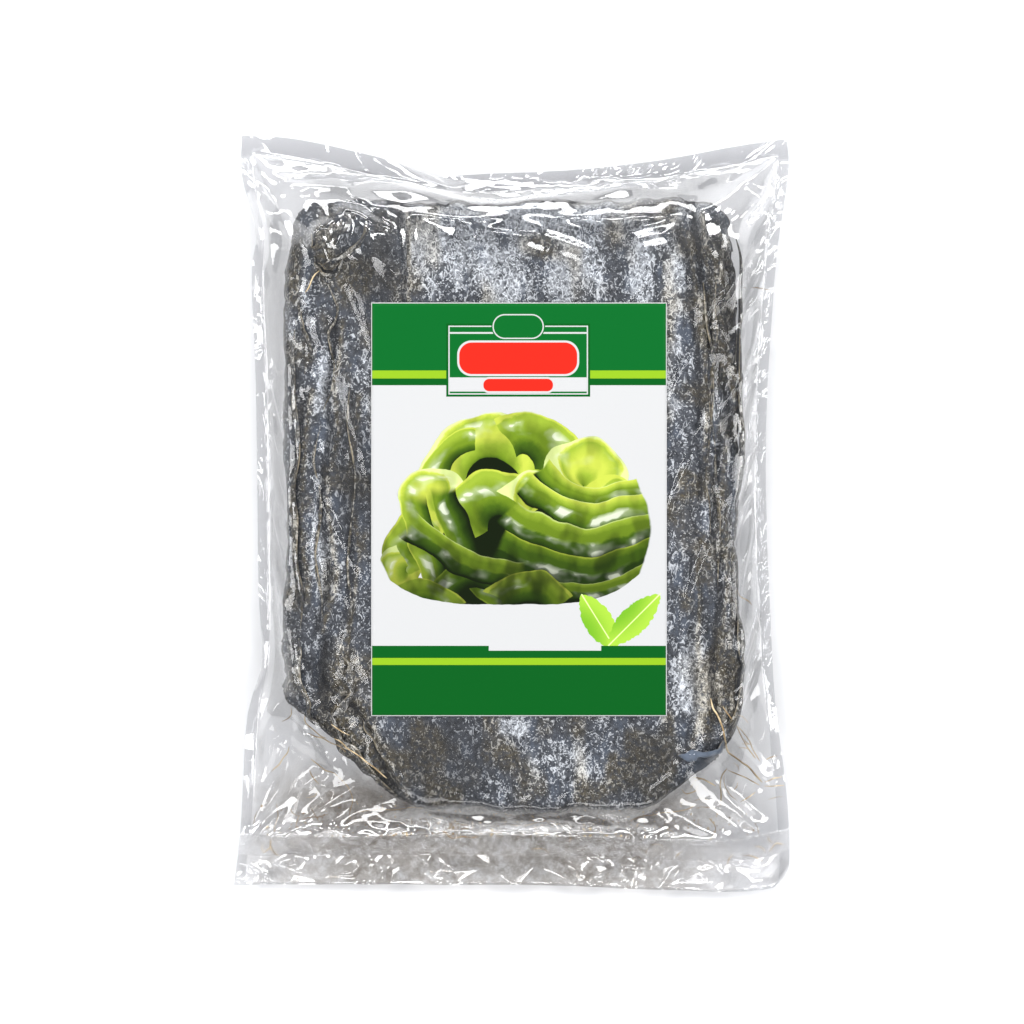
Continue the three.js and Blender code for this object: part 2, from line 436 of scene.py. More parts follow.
class Wire:
    """A socket in a material. Sums on wires add the nodes that work them out."""

    def __init__(self, tree, socket=None):
        self.tree = tree
        self.socket = socket

    def node(self, kind, settings=None, sockets=None, out=0):
        made = self.tree.nodes.new(kind)
        for name, value in (settings or {}).items():
            if name == "stops":
                ramp = made.color_ramp
                while len(ramp.elements) < len(value):
                    ramp.elements.new(0.5)
                for element, (place, colour) in zip(ramp.elements, value):
                    element.position = place
                    element.color = (*colour, 1)
            else:
                setattr(made, name, value)
        for name, value in (sockets or {}).items():
            if isinstance(value, Wire):
                self.tree.links.new(value.socket, made.inputs[name])
            else:
                made.inputs[name].default_value = value
        return Wire(self.tree, made.outputs[out] if made.outputs else None)

    def sum(self, operation, first, second):
        pair = (first, second)
        if any(isinstance(v, Wire) and v.socket.type in ("VECTOR", "RGBA") for v in pair):
            pair = [(v, v, v) if isinstance(v, (int, float)) else v for v in pair]
            return self.node("ShaderNodeVectorMath", {"operation": operation}, dict(enumerate(pair)))
        return self.node("ShaderNodeMath", {"operation": operation}, dict(enumerate(pair)))

    def __add__(self, other):
        return self.sum("ADD", self, other)

    def __radd__(self, other):
        return self.sum("ADD", other, self)

    def __sub__(self, other):
        return self.sum("SUBTRACT", self, other)

    def __rsub__(self, other):
        return self.sum("SUBTRACT", other, self)

    def __mul__(self, other):
        return self.sum("MULTIPLY", self, other)

    def __rmul__(self, other):
        return self.sum("MULTIPLY", other, self)

    def __truediv__(self, other):
        return self.sum("DIVIDE", self, other)

    def __pow__(self, other):
        return self.sum("POWER", self, other)

    def __abs__(self):
        return self.sum("ABSOLUTE", self, 0)

    def least(self, other):
        return self.sum("MINIMUM", self, other)

    def most(self, other):
        return self.sum("MAXIMUM", self, other)

    def step(self, start, end):
        """0 before start, 1 after end, smooth between."""
        return self.node(
            "ShaderNodeMapRange",
            {"interpolation_type": "SMOOTHSTEP"},
            {"Value": self, "From Min": start, "From Max": end, "To Min": 0.0, "To Max": 1.0},
        )

    def mix(self, low, high):
        """The colour low where this wire is 0, and high where it is 1."""
        low, high = ((*c, 1) if isinstance(c, tuple) else c for c in (low, high))
        return self.node("ShaderNodeMix", {"data_type": "RGBA"}, {0: self, 6: low, 7: high}, out=2)

    def length(self):
        return self.node("ShaderNodeVectorMath", {"operation": "LENGTH"}, {0: self}, out="Value")

    def axis(self, number):
        """One of this wire's three coordinates."""
        return self.node("ShaderNodeSeparateXYZ", {}, {0: self}, out=number)

    def noise(self, size, detail=2.0, roughness=0.5, distortion=0.0):
        """Cloudy values from 0 to 1 at these coordinates, with lumps of this size."""
        return self.node(
            "ShaderNodeTexNoise",
            {},
            {
                "Vector": self,
                "Scale": 1 / size,
                "Detail": detail,
                "Roughness": roughness,
                "Distortion": distortion,
            },
        )

    def threads(self, size, width, distortion=0.6):
        """Thin curly lines at these coordinates, as the level lines of a noise."""
        return 1 - (abs(self.noise(size, 2.0, 0.5, distortion) - 0.5) / width).least(1.0)


def new_finish(name):
    """An empty material, and a wire to start its nodes from."""
    material = bpy.data.materials.new(name)
    material.use_nodes = True
    material.node_tree.nodes.clear()
    return material, Wire(material.node_tree)


def millimetres(start):
    """Coordinates in millimetres in the pack's own frame."""
    return start.node("ShaderNodeTexCoord", out="Object") * 1000.0


def painted(start, name):
    return start.node("ShaderNodeAttribute", {"attribute_name": name}, out="Fac")


def make_kelp_finish():
    """Slate-dark leathery kelp with olive-brown patches and a crust of short salt threads and grains."""
    material, start = new_finish("dried_kelp")
    place = millimetres(start)
    salt = painted(start, "salt")
    brown = painted(start, "brown")
    shade = painted(start, "shade")
    sleek = painted(start, "sleek")
    mottle = place.noise(2.2, 3.0, 0.65)
    cloud = (place * (1.0, 0.5, 1.0) + (9.0, 2.0, 4.0)).noise(7.0, 3.0, 0.6)
    body = mottle.step(0.3, 0.7).mix((0.02, 0.0225, 0.0275), (0.078, 0.085, 0.1))
    body = (cloud.step(0.48, 0.7) * 0.6).mix(body, (0.09, 0.112, 0.152))
    rubbed = mottle.step(0.3, 0.7).mix((0.029, 0.0245, 0.016), (0.122, 0.1, 0.06))
    body = (brown * place.noise(3.2, 3.0, 0.65).step(0.25, 0.65)).mix(body, rubbed)
    body = sleek.mix(body, cloud.step(0.3, 0.7).mix((0.05, 0.065, 0.088), (0.145, 0.18, 0.235)))
    grow = salt + 1.3 * ((place * (1.0, 0.55, 1.0)).noise(4.0, 2.0, 0.6) - 0.5)
    thick = grow.step(0.0, 1.0)
    layers = []
    for size, across, along, offset in ((3.9, 1.0, 0.6, 0.0), (3.0, 1.0, 0.85, 17.0)):
        lie = place * (across, along, 1.0) + (offset, offset, offset)
        broken = (lie + (5.0, 9.0, 2.0)).noise(2.3, 0.0).step(0.57 - 0.18 * thick, 0.63 - 0.18 * thick)
        layers.append(lie.threads(size, 0.038 + 0.014 * thick, 0.8) * broken)
    patchy = place.noise(2.6, 1.0).step(0.3, 0.7)
    veins = (place * (1.0, 0.7, 1.0) + (31.0, 8.0, 2.0)).threads(6.0, 0.05, 0.8)
    veins = veins * grow.step(0.7, 1.3) * patchy
    threads = layers[0].most(layers[1]).most(veins) * (0.5 + 0.35 * patchy + 0.3 * thick)
    flecks = (place + (5.0, 3.0, 1.0)).noise(0.9, 0.0).step(0.71 - 0.04 * thick, 0.76 - 0.04 * thick)
    white = threads.most(flecks * (0.55 + 0.4 * thick)) * (1 - sleek)
    bloom = grow.step(0.35, 1.2) * place.noise(2.2, 3.0, 0.65).step(0.3, 0.65) * 0.36
    crust = brown.mix((0.84, 0.87, 0.91), (0.76, 0.72, 0.63))
    colour = white.most(bloom).mix(body, crust)
    # Painted shade: crevices, creases, the insides of curls and the block's sides are darkened towards
    # near-black here, and so are the bare patches.
    colour = (shade * 0.93).mix(colour, (0.008, 0.008, 0.009))
    colour = painted(start, "rim").mix(colour, (0.5, 0.42, 0.28))
    relief = mottle * 0.6 + white * 0.4
    surface = start.node(
        "ShaderNodeBsdfPrincipled",
        {},
        {
            "Base Color": colour,
            "Roughness": 0.6 - 0.15 * mottle - 0.2 * sleek,
            "Specular IOR Level": 0.3,
            "Normal": start.node(
                "ShaderNodeBump", {}, {"Strength": 0.6, "Distance": 0.0005, "Height": relief}
            ),
        },
    )
    start.node("ShaderNodeOutputMaterial", {}, {"Surface": surface})
    return material


kelp_finish = make_kelp_finish()
block = make_block()
block.data.materials.append(kelp_finish)
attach(block, "root")

# ---------------------------------------------------------------------------------------------------------
# Frond edges. Where the folded fronds end, their stiff edges stand up from the slab as curled lips and
# rolls: a loose roll at the upper left, long lips down both sides, a pocket at the lower left and a flap
# at the lower right.
# ---------------------------------------------------------------------------------------------------------
FROND_THICKNESS = 0.75

# The flap at the lower right is the smooth bluish end of a frond, with no salt on it.
SLEEK_FLAP = ([(82, -122), (90, -119), (99, -117), (108, -113)], 4.6, 100, 200, -1.6)

# Each edge's route over the slab, seen from above, then its curl's radius, which way the curl's back
# faces, in degrees from straight up towards the right of the route, how many degrees round it goes, and
# how high its middle stands.
FROND_EDGES = [
    ([(-100, 133), (-94, 140), (-87, 147), (-78, 152)], 5.4, 118, 235, 1.6),
    ([(-76, 150), (-73, 143), (-78, 135), (-87, 129), (-95, 124)], 2.0, 250, 190, 2.6),
    ([(-100, 130), (-97, 124), (-92, 121), (-87, 123), (-85, 129)], 1.8, 120, 200, 1.8),
    ([(-106, 108), (-104, 96), (-100, 84), (-104, 70)], 2.8, 118, 200, 0.0),
    ([(-95, 118), (-90, 104), (-93, 88), (-90, 72), (-94, 52)], 2.0, 245, 190, 0.0),
    ([(-108, 96), (-109, 60), (-106, 30), (-108, -4), (-105, -38), (-107, -64)], 3.0, 95, 180, -0.8),
    ([(-94, 48), (-97, 30), (-93, 6), (-97, -22), (-94, -52)], 2.3, 115, 185, -0.5),
    ([(-81, 72), (-83, 44), (-80, 12), (-83, -20), (-82, -54), (-86, -84)], 1.9, 240, 200, -0.4),
    ([(-106, -62), (-105, -82), (-100, -98), (-93, -110)], 3.4, 112, 215, 0.2),
    ([(-85, -68), (-82, -82), (-84, -93), (-91, -103)], 3.0, 246, 215, 0.4),
    ([(-93, -98), (-82, -112), (-70, -128), (-58, -142)], 3.0, 112, 200, -0.2),
    ([(-78, -100), (-70, -114), (-61, -128), (-52, -141)], 2.4, 248, 190, -0.2),
    ([(113, 140), (114, 108), (112, 70), (114, 30), (112, -6)], 2.6, 265, 170, -0.8),
    ([(100, 136), (103, 96), (101, 52), (105, 2), (103, -52)], 2.1, 110, 180, -0.6),
    ([(92, 146), (95, 112), (99, 70), (97, 20), (99, -20)], 1.8, 235, 200, -0.5),
    ([(112, -40), (114, -76), (111, -98), (104, -112)], 2.8, 250, 190, -0.3),
    SLEEK_FLAP,
    ([(-52, 150), (-53, 132), (-52, 112), (-53, 104)], 1.3, 260, 150, -0.2),
]


def smooth_route(corners, step=1.2):
    """A curve through a few points, with points a step apart."""
    corners = np.asarray(corners, float)
    ends = np.vstack([2 * corners[0] - corners[1], corners, 2 * corners[-1] - corners[-2]])
    pieces = []
    for a, b, c, d in zip(ends, ends[1:], ends[2:], ends[3:]):
        t = np.linspace(0, 1, max(2, int(np.linalg.norm(c - b) / step)), endpoint=False)[:, None]
        squared = (2 * a - 5 * b + 4 * c - d) * t**2
        cubed = (3 * b - a - 3 * c + d) * t**3
        pieces.append(0.5 * (2 * b + (c - a) * t + squared + cubed))
    return np.vstack([*pieces, corners[-1:]])


def waver(walk, length, seed):
    """Smooth uneven values from -1 to 1 along a route, with swings of this length."""
    return lumps(walk, walk * 0, length, 5, seed)


def curled_edge(corners, radius, facing, sweep, lift, seed):
    """A closed strip of frond that follows a route and curls round it, thinning out at both ends."""
    route = smooth_route(corners)
    count = len(route)
    walk = np.linspace(0, 1, count)
    x, y = route.T
    wander = 1.1 * waver(walk * 80, 9, seed)
    ahead = np.gradient(route, axis=0)
    ahead /= np.linalg.norm(ahead, axis=1)[:, None]
    right = np.stack([ahead[:, 1], -ahead[:, 0]], 1)
    x = x + right[:, 0] * wander
    y = y + right[:, 1] * wander
    ground = top_relief(x, y)[0]
    taper = np.minimum(1, 4 * np.minimum(walk, 1 - walk) + 0.12)
    size = radius * taper * (1 + 0.28 * waver(walk * 90, 11, seed + 1))
    centre = ground + lift + size * 0.1
    shares = np.array([0, 0.03, 0.09, 0.18, 0.3, 0.4, 0.5, 0.6, 0.7, 0.82, 0.91, 0.97, 1])
    turns = len(shares)
    loosened = 1 + 0.22 * waver(walk * 90, 16, seed + 4)[:, None]
    angle = np.radians(facing + sweep * loosened * (shares - 0.5)[None, :])
    angle = angle + 0.35 * waver(walk * 90, 14, seed + 2)[:, None]
    rings = []
    for thick in (0, 1):
        reach = size[:, None] - thick * FROND_THICKNESS * np.minimum(1, size / 2)[:, None]
        reach = reach * (1 + 0.07 * lumps(walk[:, None] * 100, angle * 3, 3, 1, seed + 3))
        out = reach * np.sin(angle)
        rings.append(
            np.stack(
                [
                    x[:, None] + right[:, :1] * out,
                    y[:, None] + right[:, 1:] * out,
                    centre[:, None] + reach * np.cos(angle),
                ],
                -1,
            )
        )
    section = np.concatenate([rings[0], rings[1][:, ::-1]], 1)
    around = section.shape[1]
    number = np.arange(count * around).reshape(count, around)
    onward = np.roll(number, -1, 1)
    sides = np.stack([number[:-1], number[1:], onward[1:], onward[:-1]], -1).reshape(-1, 4)
    inner = np.concatenate([np.zeros((count, turns)), np.ones((count, turns))], 1)
    edging = np.zeros((count, turns))
    edging[:, [0, -1]] = 0.9
    edging[:, [1, -2]] = 0.45
    edging = np.concatenate([edging, edging[:, ::-1]], 1)
    faces = [*sides.tolist(), number[0].tolist(), number[-1][::-1].tolist()]
    return section.reshape(-1, 3), faces, np.stack([inner.ravel(), edging.ravel()], 1)


def make_frond_edges():
    """All the curled edges in one piece, painted in shade inside their curls and bleached along their rims.
    """
    points, faces, tones = [], [], []
    for index, edge in enumerate(FROND_EDGES):
        strip_points, strip_faces, strip_tones = curled_edge(*edge, 200 + 7 * index)
        start = sum(map(len, points))
        points.append(strip_points)
        faces += [[start + corner for corner in face] for face in strip_faces]
        tones.append(np.column_stack([strip_tones, np.full(len(strip_points), edge is SLEEK_FLAP)]))
    made = add_mesh("kelp_edges", np.concatenate(points), faces)
    inner, edging, sleek = np.concatenate(tones).T
    x, y, _ = np.concatenate(points).T
    paint(made, "salt", 0.42 + 0.45 * lumps(x, y, 6, 12, 81) - 0.5 * inner)
    paint(made, "brown", 0.85 + 0.3 * lumps(x, y, 8, 14, 82))
    # Painted shade inside each curl, stopping short of its rims.
    paint(made, "shade", 0.85 * inner * (1 - edging))
    paint(made, "sleek", sleek)
    paint(made, "rim", 0.8 * edging * np.clip(0.1 + 1.2 * lumps(x, y, 5, 6, 83), 0, 1))
    return made


frond_edges = make_frond_edges()
frond_edges.data.materials.append(kelp_finish)
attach(frond_edges, "root")

# ---------------------------------------------------------------------------------------------------------
# Bag. Two webs of clear plastic film, heat-sealed along the top, the bottom and both sides, with a loose
# flap below the lower seal. The block holds the webs apart, and the spare film round it buckles.
# ---------------------------------------------------------------------------------------------------------
TOP_SEAL = 10.0
LOWER_SEAL = 27.0
SIDE_SEAL = 5.5
SEAL_HALF_THICKNESS = 0.12
COARSE_CELLS = (54, 74)
# From the coarsest grid to the finest: how many rounds, how firmly the film resists a squeeze, and how
# far it is shaken first.
SETTLING = [(500, 0.6, 1.2), (260, 0.7, 0.5), (120, 0.8, 0.2)]
BENDING = 0.1
SINKING = 0.004
FILM_GAP = 0.35
SLACK_ABOVE = 0.0015
SLACK_BESIDE = 0.016
RIBBED_BAND = (15.5, 25.5)
RIB_PITCH = 1.3


def find_rim():
    """The bag's rim seen from above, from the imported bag's upright faces, in order round the middle."""
    spots = {}
    for face in bag_faces.polygons:
        if abs(face.normal.z) < 0.3:
            for corner in face.vertices:
                x, y, _ = bag_faces.vertices[corner].co / MM
                spots[(round(x, 1), round(y, 1))] = (x, y)
    rim = np.array(list(spots.values()))
    return rim[np.argsort(np.arctan2(rim[:, 1], rim[:, 0]))]


def stretch_of_rim(rim, start, end):
    """The rim's points from one index round to another, as a curve with its length."""
    count = (end - start) % len(rim)
    points = np.array([rim[(start + k) % len(rim)] for k in range(count + 1)])
    walk = np.concatenate([[0], np.cumsum(np.linalg.norm(np.diff(points, axis=0), axis=1))])
    return points, walk


def edge_points(stretch, shares):
    """Points at these shares of the way along a stretch of the rim."""
    points, walk = stretch
    at = np.asarray(shares) * walk[-1]
    return np.stack([np.interp(at, walk, points[:, 0]), np.interp(at, walk, points[:, 1])], -1)


rim = find_rim()
corner_of = {
    (sx, sy): int(np.argmax(rim[:, 0] * sx + 1.05 * rim[:, 1] * sy)) for sx in (-1, 1) for sy in (-1, 1)
}
bottom_edge = stretch_of_rim(rim, corner_of[-1, -1], corner_of[1, -1])
right_edge = stretch_of_rim(rim, corner_of[1, -1], corner_of[1, 1])
top_edge = stretch_of_rim(rim, corner_of[1, 1], corner_of[-1, 1])
left_edge = stretch_of_rim(rim, corner_of[-1, 1], corner_of[-1, -1])
film_width = (bottom_edge[1][-1] + top_edge[1][-1]) / 2
film_length = (left_edge[1][-1] + right_edge[1][-1]) / 2


def lay_flat(columns, rows):
    """Where a grid of film points lies, seen from above, between the rim's four edges."""
    u = np.linspace(0, 1, columns + 1)
    v = np.linspace(0, 1, rows + 1)
    bottom = edge_points(bottom_edge, u)[None, :, :]
    top = edge_points(top_edge, 1 - u)[None, :, :]
    left = edge_points(left_edge, 1 - v)[:, None, :]
    right = edge_points(right_edge, v)[:, None, :]
    u = u[None, :, None]
    v = v[:, None, None]
    corners = (
        bottom[:, :1] * (1 - u) * (1 - v)
        + bottom[:, -1:] * u * (1 - v)
        + top[:, :1] * (1 - u) * v
        + top[:, -1:] * u * v
    )
    return bottom * (1 - v) + top * v + left * (1 - u) + right * u - corners


def highest(charted, x, y, z):
    """Raises a chart to the height of points that lie above it."""
    i = np.clip(np.round((x - chart_x[0]) / CHART_STEP).astype(int), 0, len(chart_x) - 1)
    j = np.clip(np.round((y - chart_y[0]) / CHART_STEP).astype(int), 0, len(chart_y) - 1)
    np.maximum.at(charted, (j, i), z)


def raise_to_neighbours(charted):
    """Each spot of a chart, at the height of the highest of the four spots next to it."""
    padded = np.pad(charted, 1, mode="edge")
    return np.max([padded[:-2, 1:-1], padded[2:, 1:-1], padded[1:-1, :-2], padded[1:-1, 2:]], 0)


def chart_contents(pieces):
    """The height of the bag's contents over the plan, 0 beside them."""
    charted = np.zeros(chart_distance.shape)
    for piece in pieces:
        co = np.empty(len(piece.data.vertices) * 3)
        piece.data.vertices.foreach_get("co", co)
        co = co.reshape(-1, 3) / MM
        highest(charted, co[:, 0], co[:, 1], co[:, 2])
    holes = (charted < 5) & (chart_distance < -1.5)
    for _ in range(3):
        charted = np.where(holes & (charted < 5), raise_to_neighbours(charted), charted)
    bridged = charted
    for _ in range(3):
        bridged = raise_to_neighbours(bridged)
    for _ in range(5):
        padded = np.pad(bridged, 1, mode="edge")
        rows = (padded[:-2] + padded[1:-1] + padded[2:]) / 3
        bridged = (rows[:, :-2] + rows[:, 1:-1] + rows[:, 2:]) / 3
    return np.maximum(charted, bridged)


def hold_apart(points, first, second, length, stretch, squeeze):
    """Moves pairs of points towards their length, with how firmly the film resists stretch and squeeze."""
    a = points[first]
    b = points[second]
    gap = b - a
    now = np.sqrt((gap * gap).sum(-1, keepdims=True)) + 1e-6
    off = (now - length) / now
    gap *= np.where(off > 0, stretch, squeeze) * off * 0.5
    a += gap
    b -= gap


def pairs(shape, down, over):
    """Pairs each grid point with the one down rows and over columns away, in turns that share no point."""
    rows, columns = shape
    reach = max(abs(down), abs(over))
    for turn in range(2 * reach):
        pick = slice(turn, None, 2 * reach)
        if abs(down) >= abs(over):
            first_rows = range(rows - down)[pick]
            a = slice(first_rows.start, first_rows.stop, 2 * reach)
            b = slice(first_rows.start + down, first_rows.stop + down, 2 * reach)
            if over >= 0:
                yield (slice(None), a, slice(0, columns - over)), (slice(None), b, slice(over, columns))
            else:
                yield (slice(None), a, slice(-over, columns)), (slice(None), b, slice(0, columns + over))
        else:
            first_columns = range(columns - over)[pick]
            a = slice(first_columns.start, first_columns.stop, 2 * reach)
            b = slice(first_columns.start + over, first_columns.stop + over, 2 * reach)
            yield (slice(None), slice(None), a), (slice(None), slice(None), b)


class Film:
    """Both webs of the bag as grids of points, [web, row, column, xyz], settled by moving the points."""

    def __init__(self, contents):
        columns, rows = COARSE_CELLS
        plan = lay_flat(columns, rows)
        self.contents = contents
        self.points = np.zeros((2, rows + 1, columns + 1, 3), np.float32)
        self.points[:, :, :, :2] = plan
        upper = np.array([[solid_height(*(0.995 * p)) for p in row] for row in plan])
        self.points[0, :, :, 2] = upper
        self.points[1, :, :, 2] = np.where(upper > 30, 0.5, upper - 2)
        self.measure()

    def measure(self):
        """Works out what depends on how fine the grid is."""
        _, rows, columns, _ = self.points.shape
        self.cell = (film_width / (columns - 1), film_length / (rows - 1))
        s = np.linspace(0, film_width, columns)[None, :] + np.zeros((rows, 1))
        t = np.linspace(0, film_length, rows)[:, None] + np.zeros((1, columns))
        side = np.minimum(s, film_width - s)
        self.sealed = (side < SIDE_SEAL) | (t > film_length - TOP_SEAL) | (t < LOWER_SEAL)
        self.border = np.zeros((rows, columns), bool)
        self.border[[0, -1], :] = True
        self.border[:, [0, -1]] = True
        self.plan = lay_flat(columns - 1, rows - 1).astype(np.float32)
        self.s, self.t = s, t
        beside = ease(read_chart(chart_distance, *np.moveaxis(self.plan, -1, 0)), -6, 4)
        self.spare = []
        for seed in (51, 53):
            crumple = 0.014 * lumps(s, t, 24, 24, seed) + 0.01 * lumps(s, t, 11, 11, seed + 1)
            spare = 1 + SLACK_ABOVE + beside * (SLACK_BESIDE - SLACK_ABOVE)
            spare = spare + (0.06 + 0.94 * beside) * crumple
            self.spare.append(spare[None, :, :, None].astype(np.float32))

    def refine(self):
        """Puts a new point between each two."""
        for axis in (1, 2):
            old = np.moveaxis(self.points, axis, 0)
            new = np.empty((old.shape[0] * 2 - 1, *old.shape[1:]), np.float32)
            new[::2] = old
            middle = (old[1:] + old[:-1]) / 2
            middle[1:-1] = (9 * (old[2:-1] + old[1:-2]) - (old[3:] + old[:-3])) / 16
            new[1::2] = middle
            self.points = np.moveaxis(new, 0, axis)
        self.points = np.ascontiguousarray(self.points)
        self.measure()

    def keep_lengths(self, firm, bend):
        """Draws neighbouring points to the film's own lengths, across, along and at a slant."""
        shape = self.points.shape[1:3]
        across, along = self.cell
        for first, second in pairs(shape, 0, 1):
            hold_apart(self.points, first, second, across * self.spare[0][:, first[1], first[2]], 1.0, firm)
        for first, second in pairs(shape, 1, 0):
            hold_apart(self.points, first, second, along * self.spare[1][:, first[1], first[2]], 1.0, firm)
        slant = math.hypot(across, along)
        for over in (1, -1):
            for first, second in pairs(shape, 1, over):
                hold_apart(self.points, first, second, slant, 0.6, 0.6 * firm)
        for first, second in pairs(shape, 0, 2):
            hold_apart(self.points, first, second, 2 * across, 0.0, bend)
        for first, second in pairs(shape, 2, 0):
            hold_apart(self.points, first, second, 2 * along, 0.0, bend)

    def keep_clear(self):
        """Keeps the film off the floor, the contents and the other web, and its rim where it belongs."""
        front, back = self.points
        front[..., 2] = np.maximum(front[..., 2], 0.6)
        back[..., 2] = np.maximum(back[..., 2], 0.3)
        for web in (front, back):
            depth = -read_chart(chart_distance, web[..., 0], web[..., 1]) + 1.5
            top = read_chart(self.contents, web[..., 0], web[..., 1])
            beside = (depth > 0) & (depth < 6) & (web[..., 2] < top - 5) & (web[..., 2] > 1.5)
            push = np.where(beside, depth, 0)
            web[..., 0] += push * read_chart(chart_slope_x, web[..., 0], web[..., 1])
            web[..., 1] += push * read_chart(chart_slope_y, web[..., 0], web[..., 1])
        top = read_chart(self.contents, front[..., 0], front[..., 1])
        front[..., 2] = np.where(top > 5, np.maximum(front[..., 2], top + FILM_GAP), front[..., 2])
        under = label_cover(front[..., 0], front[..., 1], 1.0) < 0
        front[..., 2] = np.where(under, np.minimum(front[..., 2], label_bottom), front[..., 2])
        inside = read_chart(chart_distance, back[..., 0], back[..., 1]) < -6
        back[..., 2] = np.where(inside, 0.3, back[..., 2])
        close = front[..., 2] - back[..., 2] < 0.3
        middle = (front[..., 2] + back[..., 2]) / 2
        front[..., 2] = np.where(close, middle + 0.15, front[..., 2])
        back[..., 2] = np.where(close, middle - 0.15, back[..., 2])
        welded = (front + back)[self.sealed] / 2
        front[self.sealed] = welded
        back[self.sealed] = welded
        for web in (front, back):
            web[self.border, :2] += 0.5 * (self.plan[self.border] - web[self.border, :2])

    def settle(self, rounds, firm, bend, weight):
        """Lets the webs sink and straighten a little at a time."""
        for _ in range(rounds):
            self.points[..., 2] -= weight
            self.keep_lengths(firm, bend)
            self.keep_clear()


label_bottom = label_low.z - 0.25
contents = chart_contents([block, frond_edges])
film = Film(contents)
for level, (rounds, firm, shake) in enumerate(SETTLING):
    if level > 0:
        film.refine()
    shaken = shake * lumps(film.s, film.t, 9, 9, 61 + level)
    film.points[..., 2] += shaken * ~film.sealed
    film.settle(rounds, firm, BENDING, SINKING)


def grid_faces(rows, columns):
    """The four-sided faces of a grid of points, numbered row by row."""
    number = np.arange(rows * columns).reshape(rows, columns)
    return np.stack([number[:-1, :-1], number[:-1, 1:], number[1:, 1:], number[1:, :-1]], -1).reshape(-1, 4)


def crumpled(x, y, across, along, seed):
    """The height, from -1 to 1, of film crumpled into flat facets that measure about across by along."""
    rng = np.random.default_rng(seed)
    columns = math.ceil(150 / across)
    rows = math.ceil(200 / along)
    corner_x, corner_y = np.meshgrid(
        np.arange(-columns, columns + 1) * across, np.arange(-rows, rows + 1) * along
    )
    spots = np.stack(
        [
            corner_x + rng.uniform(-0.42, 0.42, corner_x.shape) * across,
            corner_y + rng.uniform(-0.42, 0.42, corner_x.shape) * along,
            rng.uniform(-1, 1, corner_x.shape),
        ],
        -1,
    )
    triangles = []
    for a, b, c, d in grid_faces(*corner_x.shape).tolist():
        triangles += [(a, b, c), (a, c, d)] if rng.random() < 0.5 else [(a, b, d), (b, c, d)]
    sheet = BVHTree.FromPolygons(spots.reshape(-1, 3).tolist(), triangles)
    heights = []
    for point_x, point_y in zip(np.ravel(x).tolist(), np.ravel(y).tolist()):
        hit = sheet.ray_cast(Vector((point_x, point_y, 2)), Vector((0, 0, -1)))[0]
        heights.append(hit.z if hit else 0.0)
    return np.reshape(heights, np.shape(x))


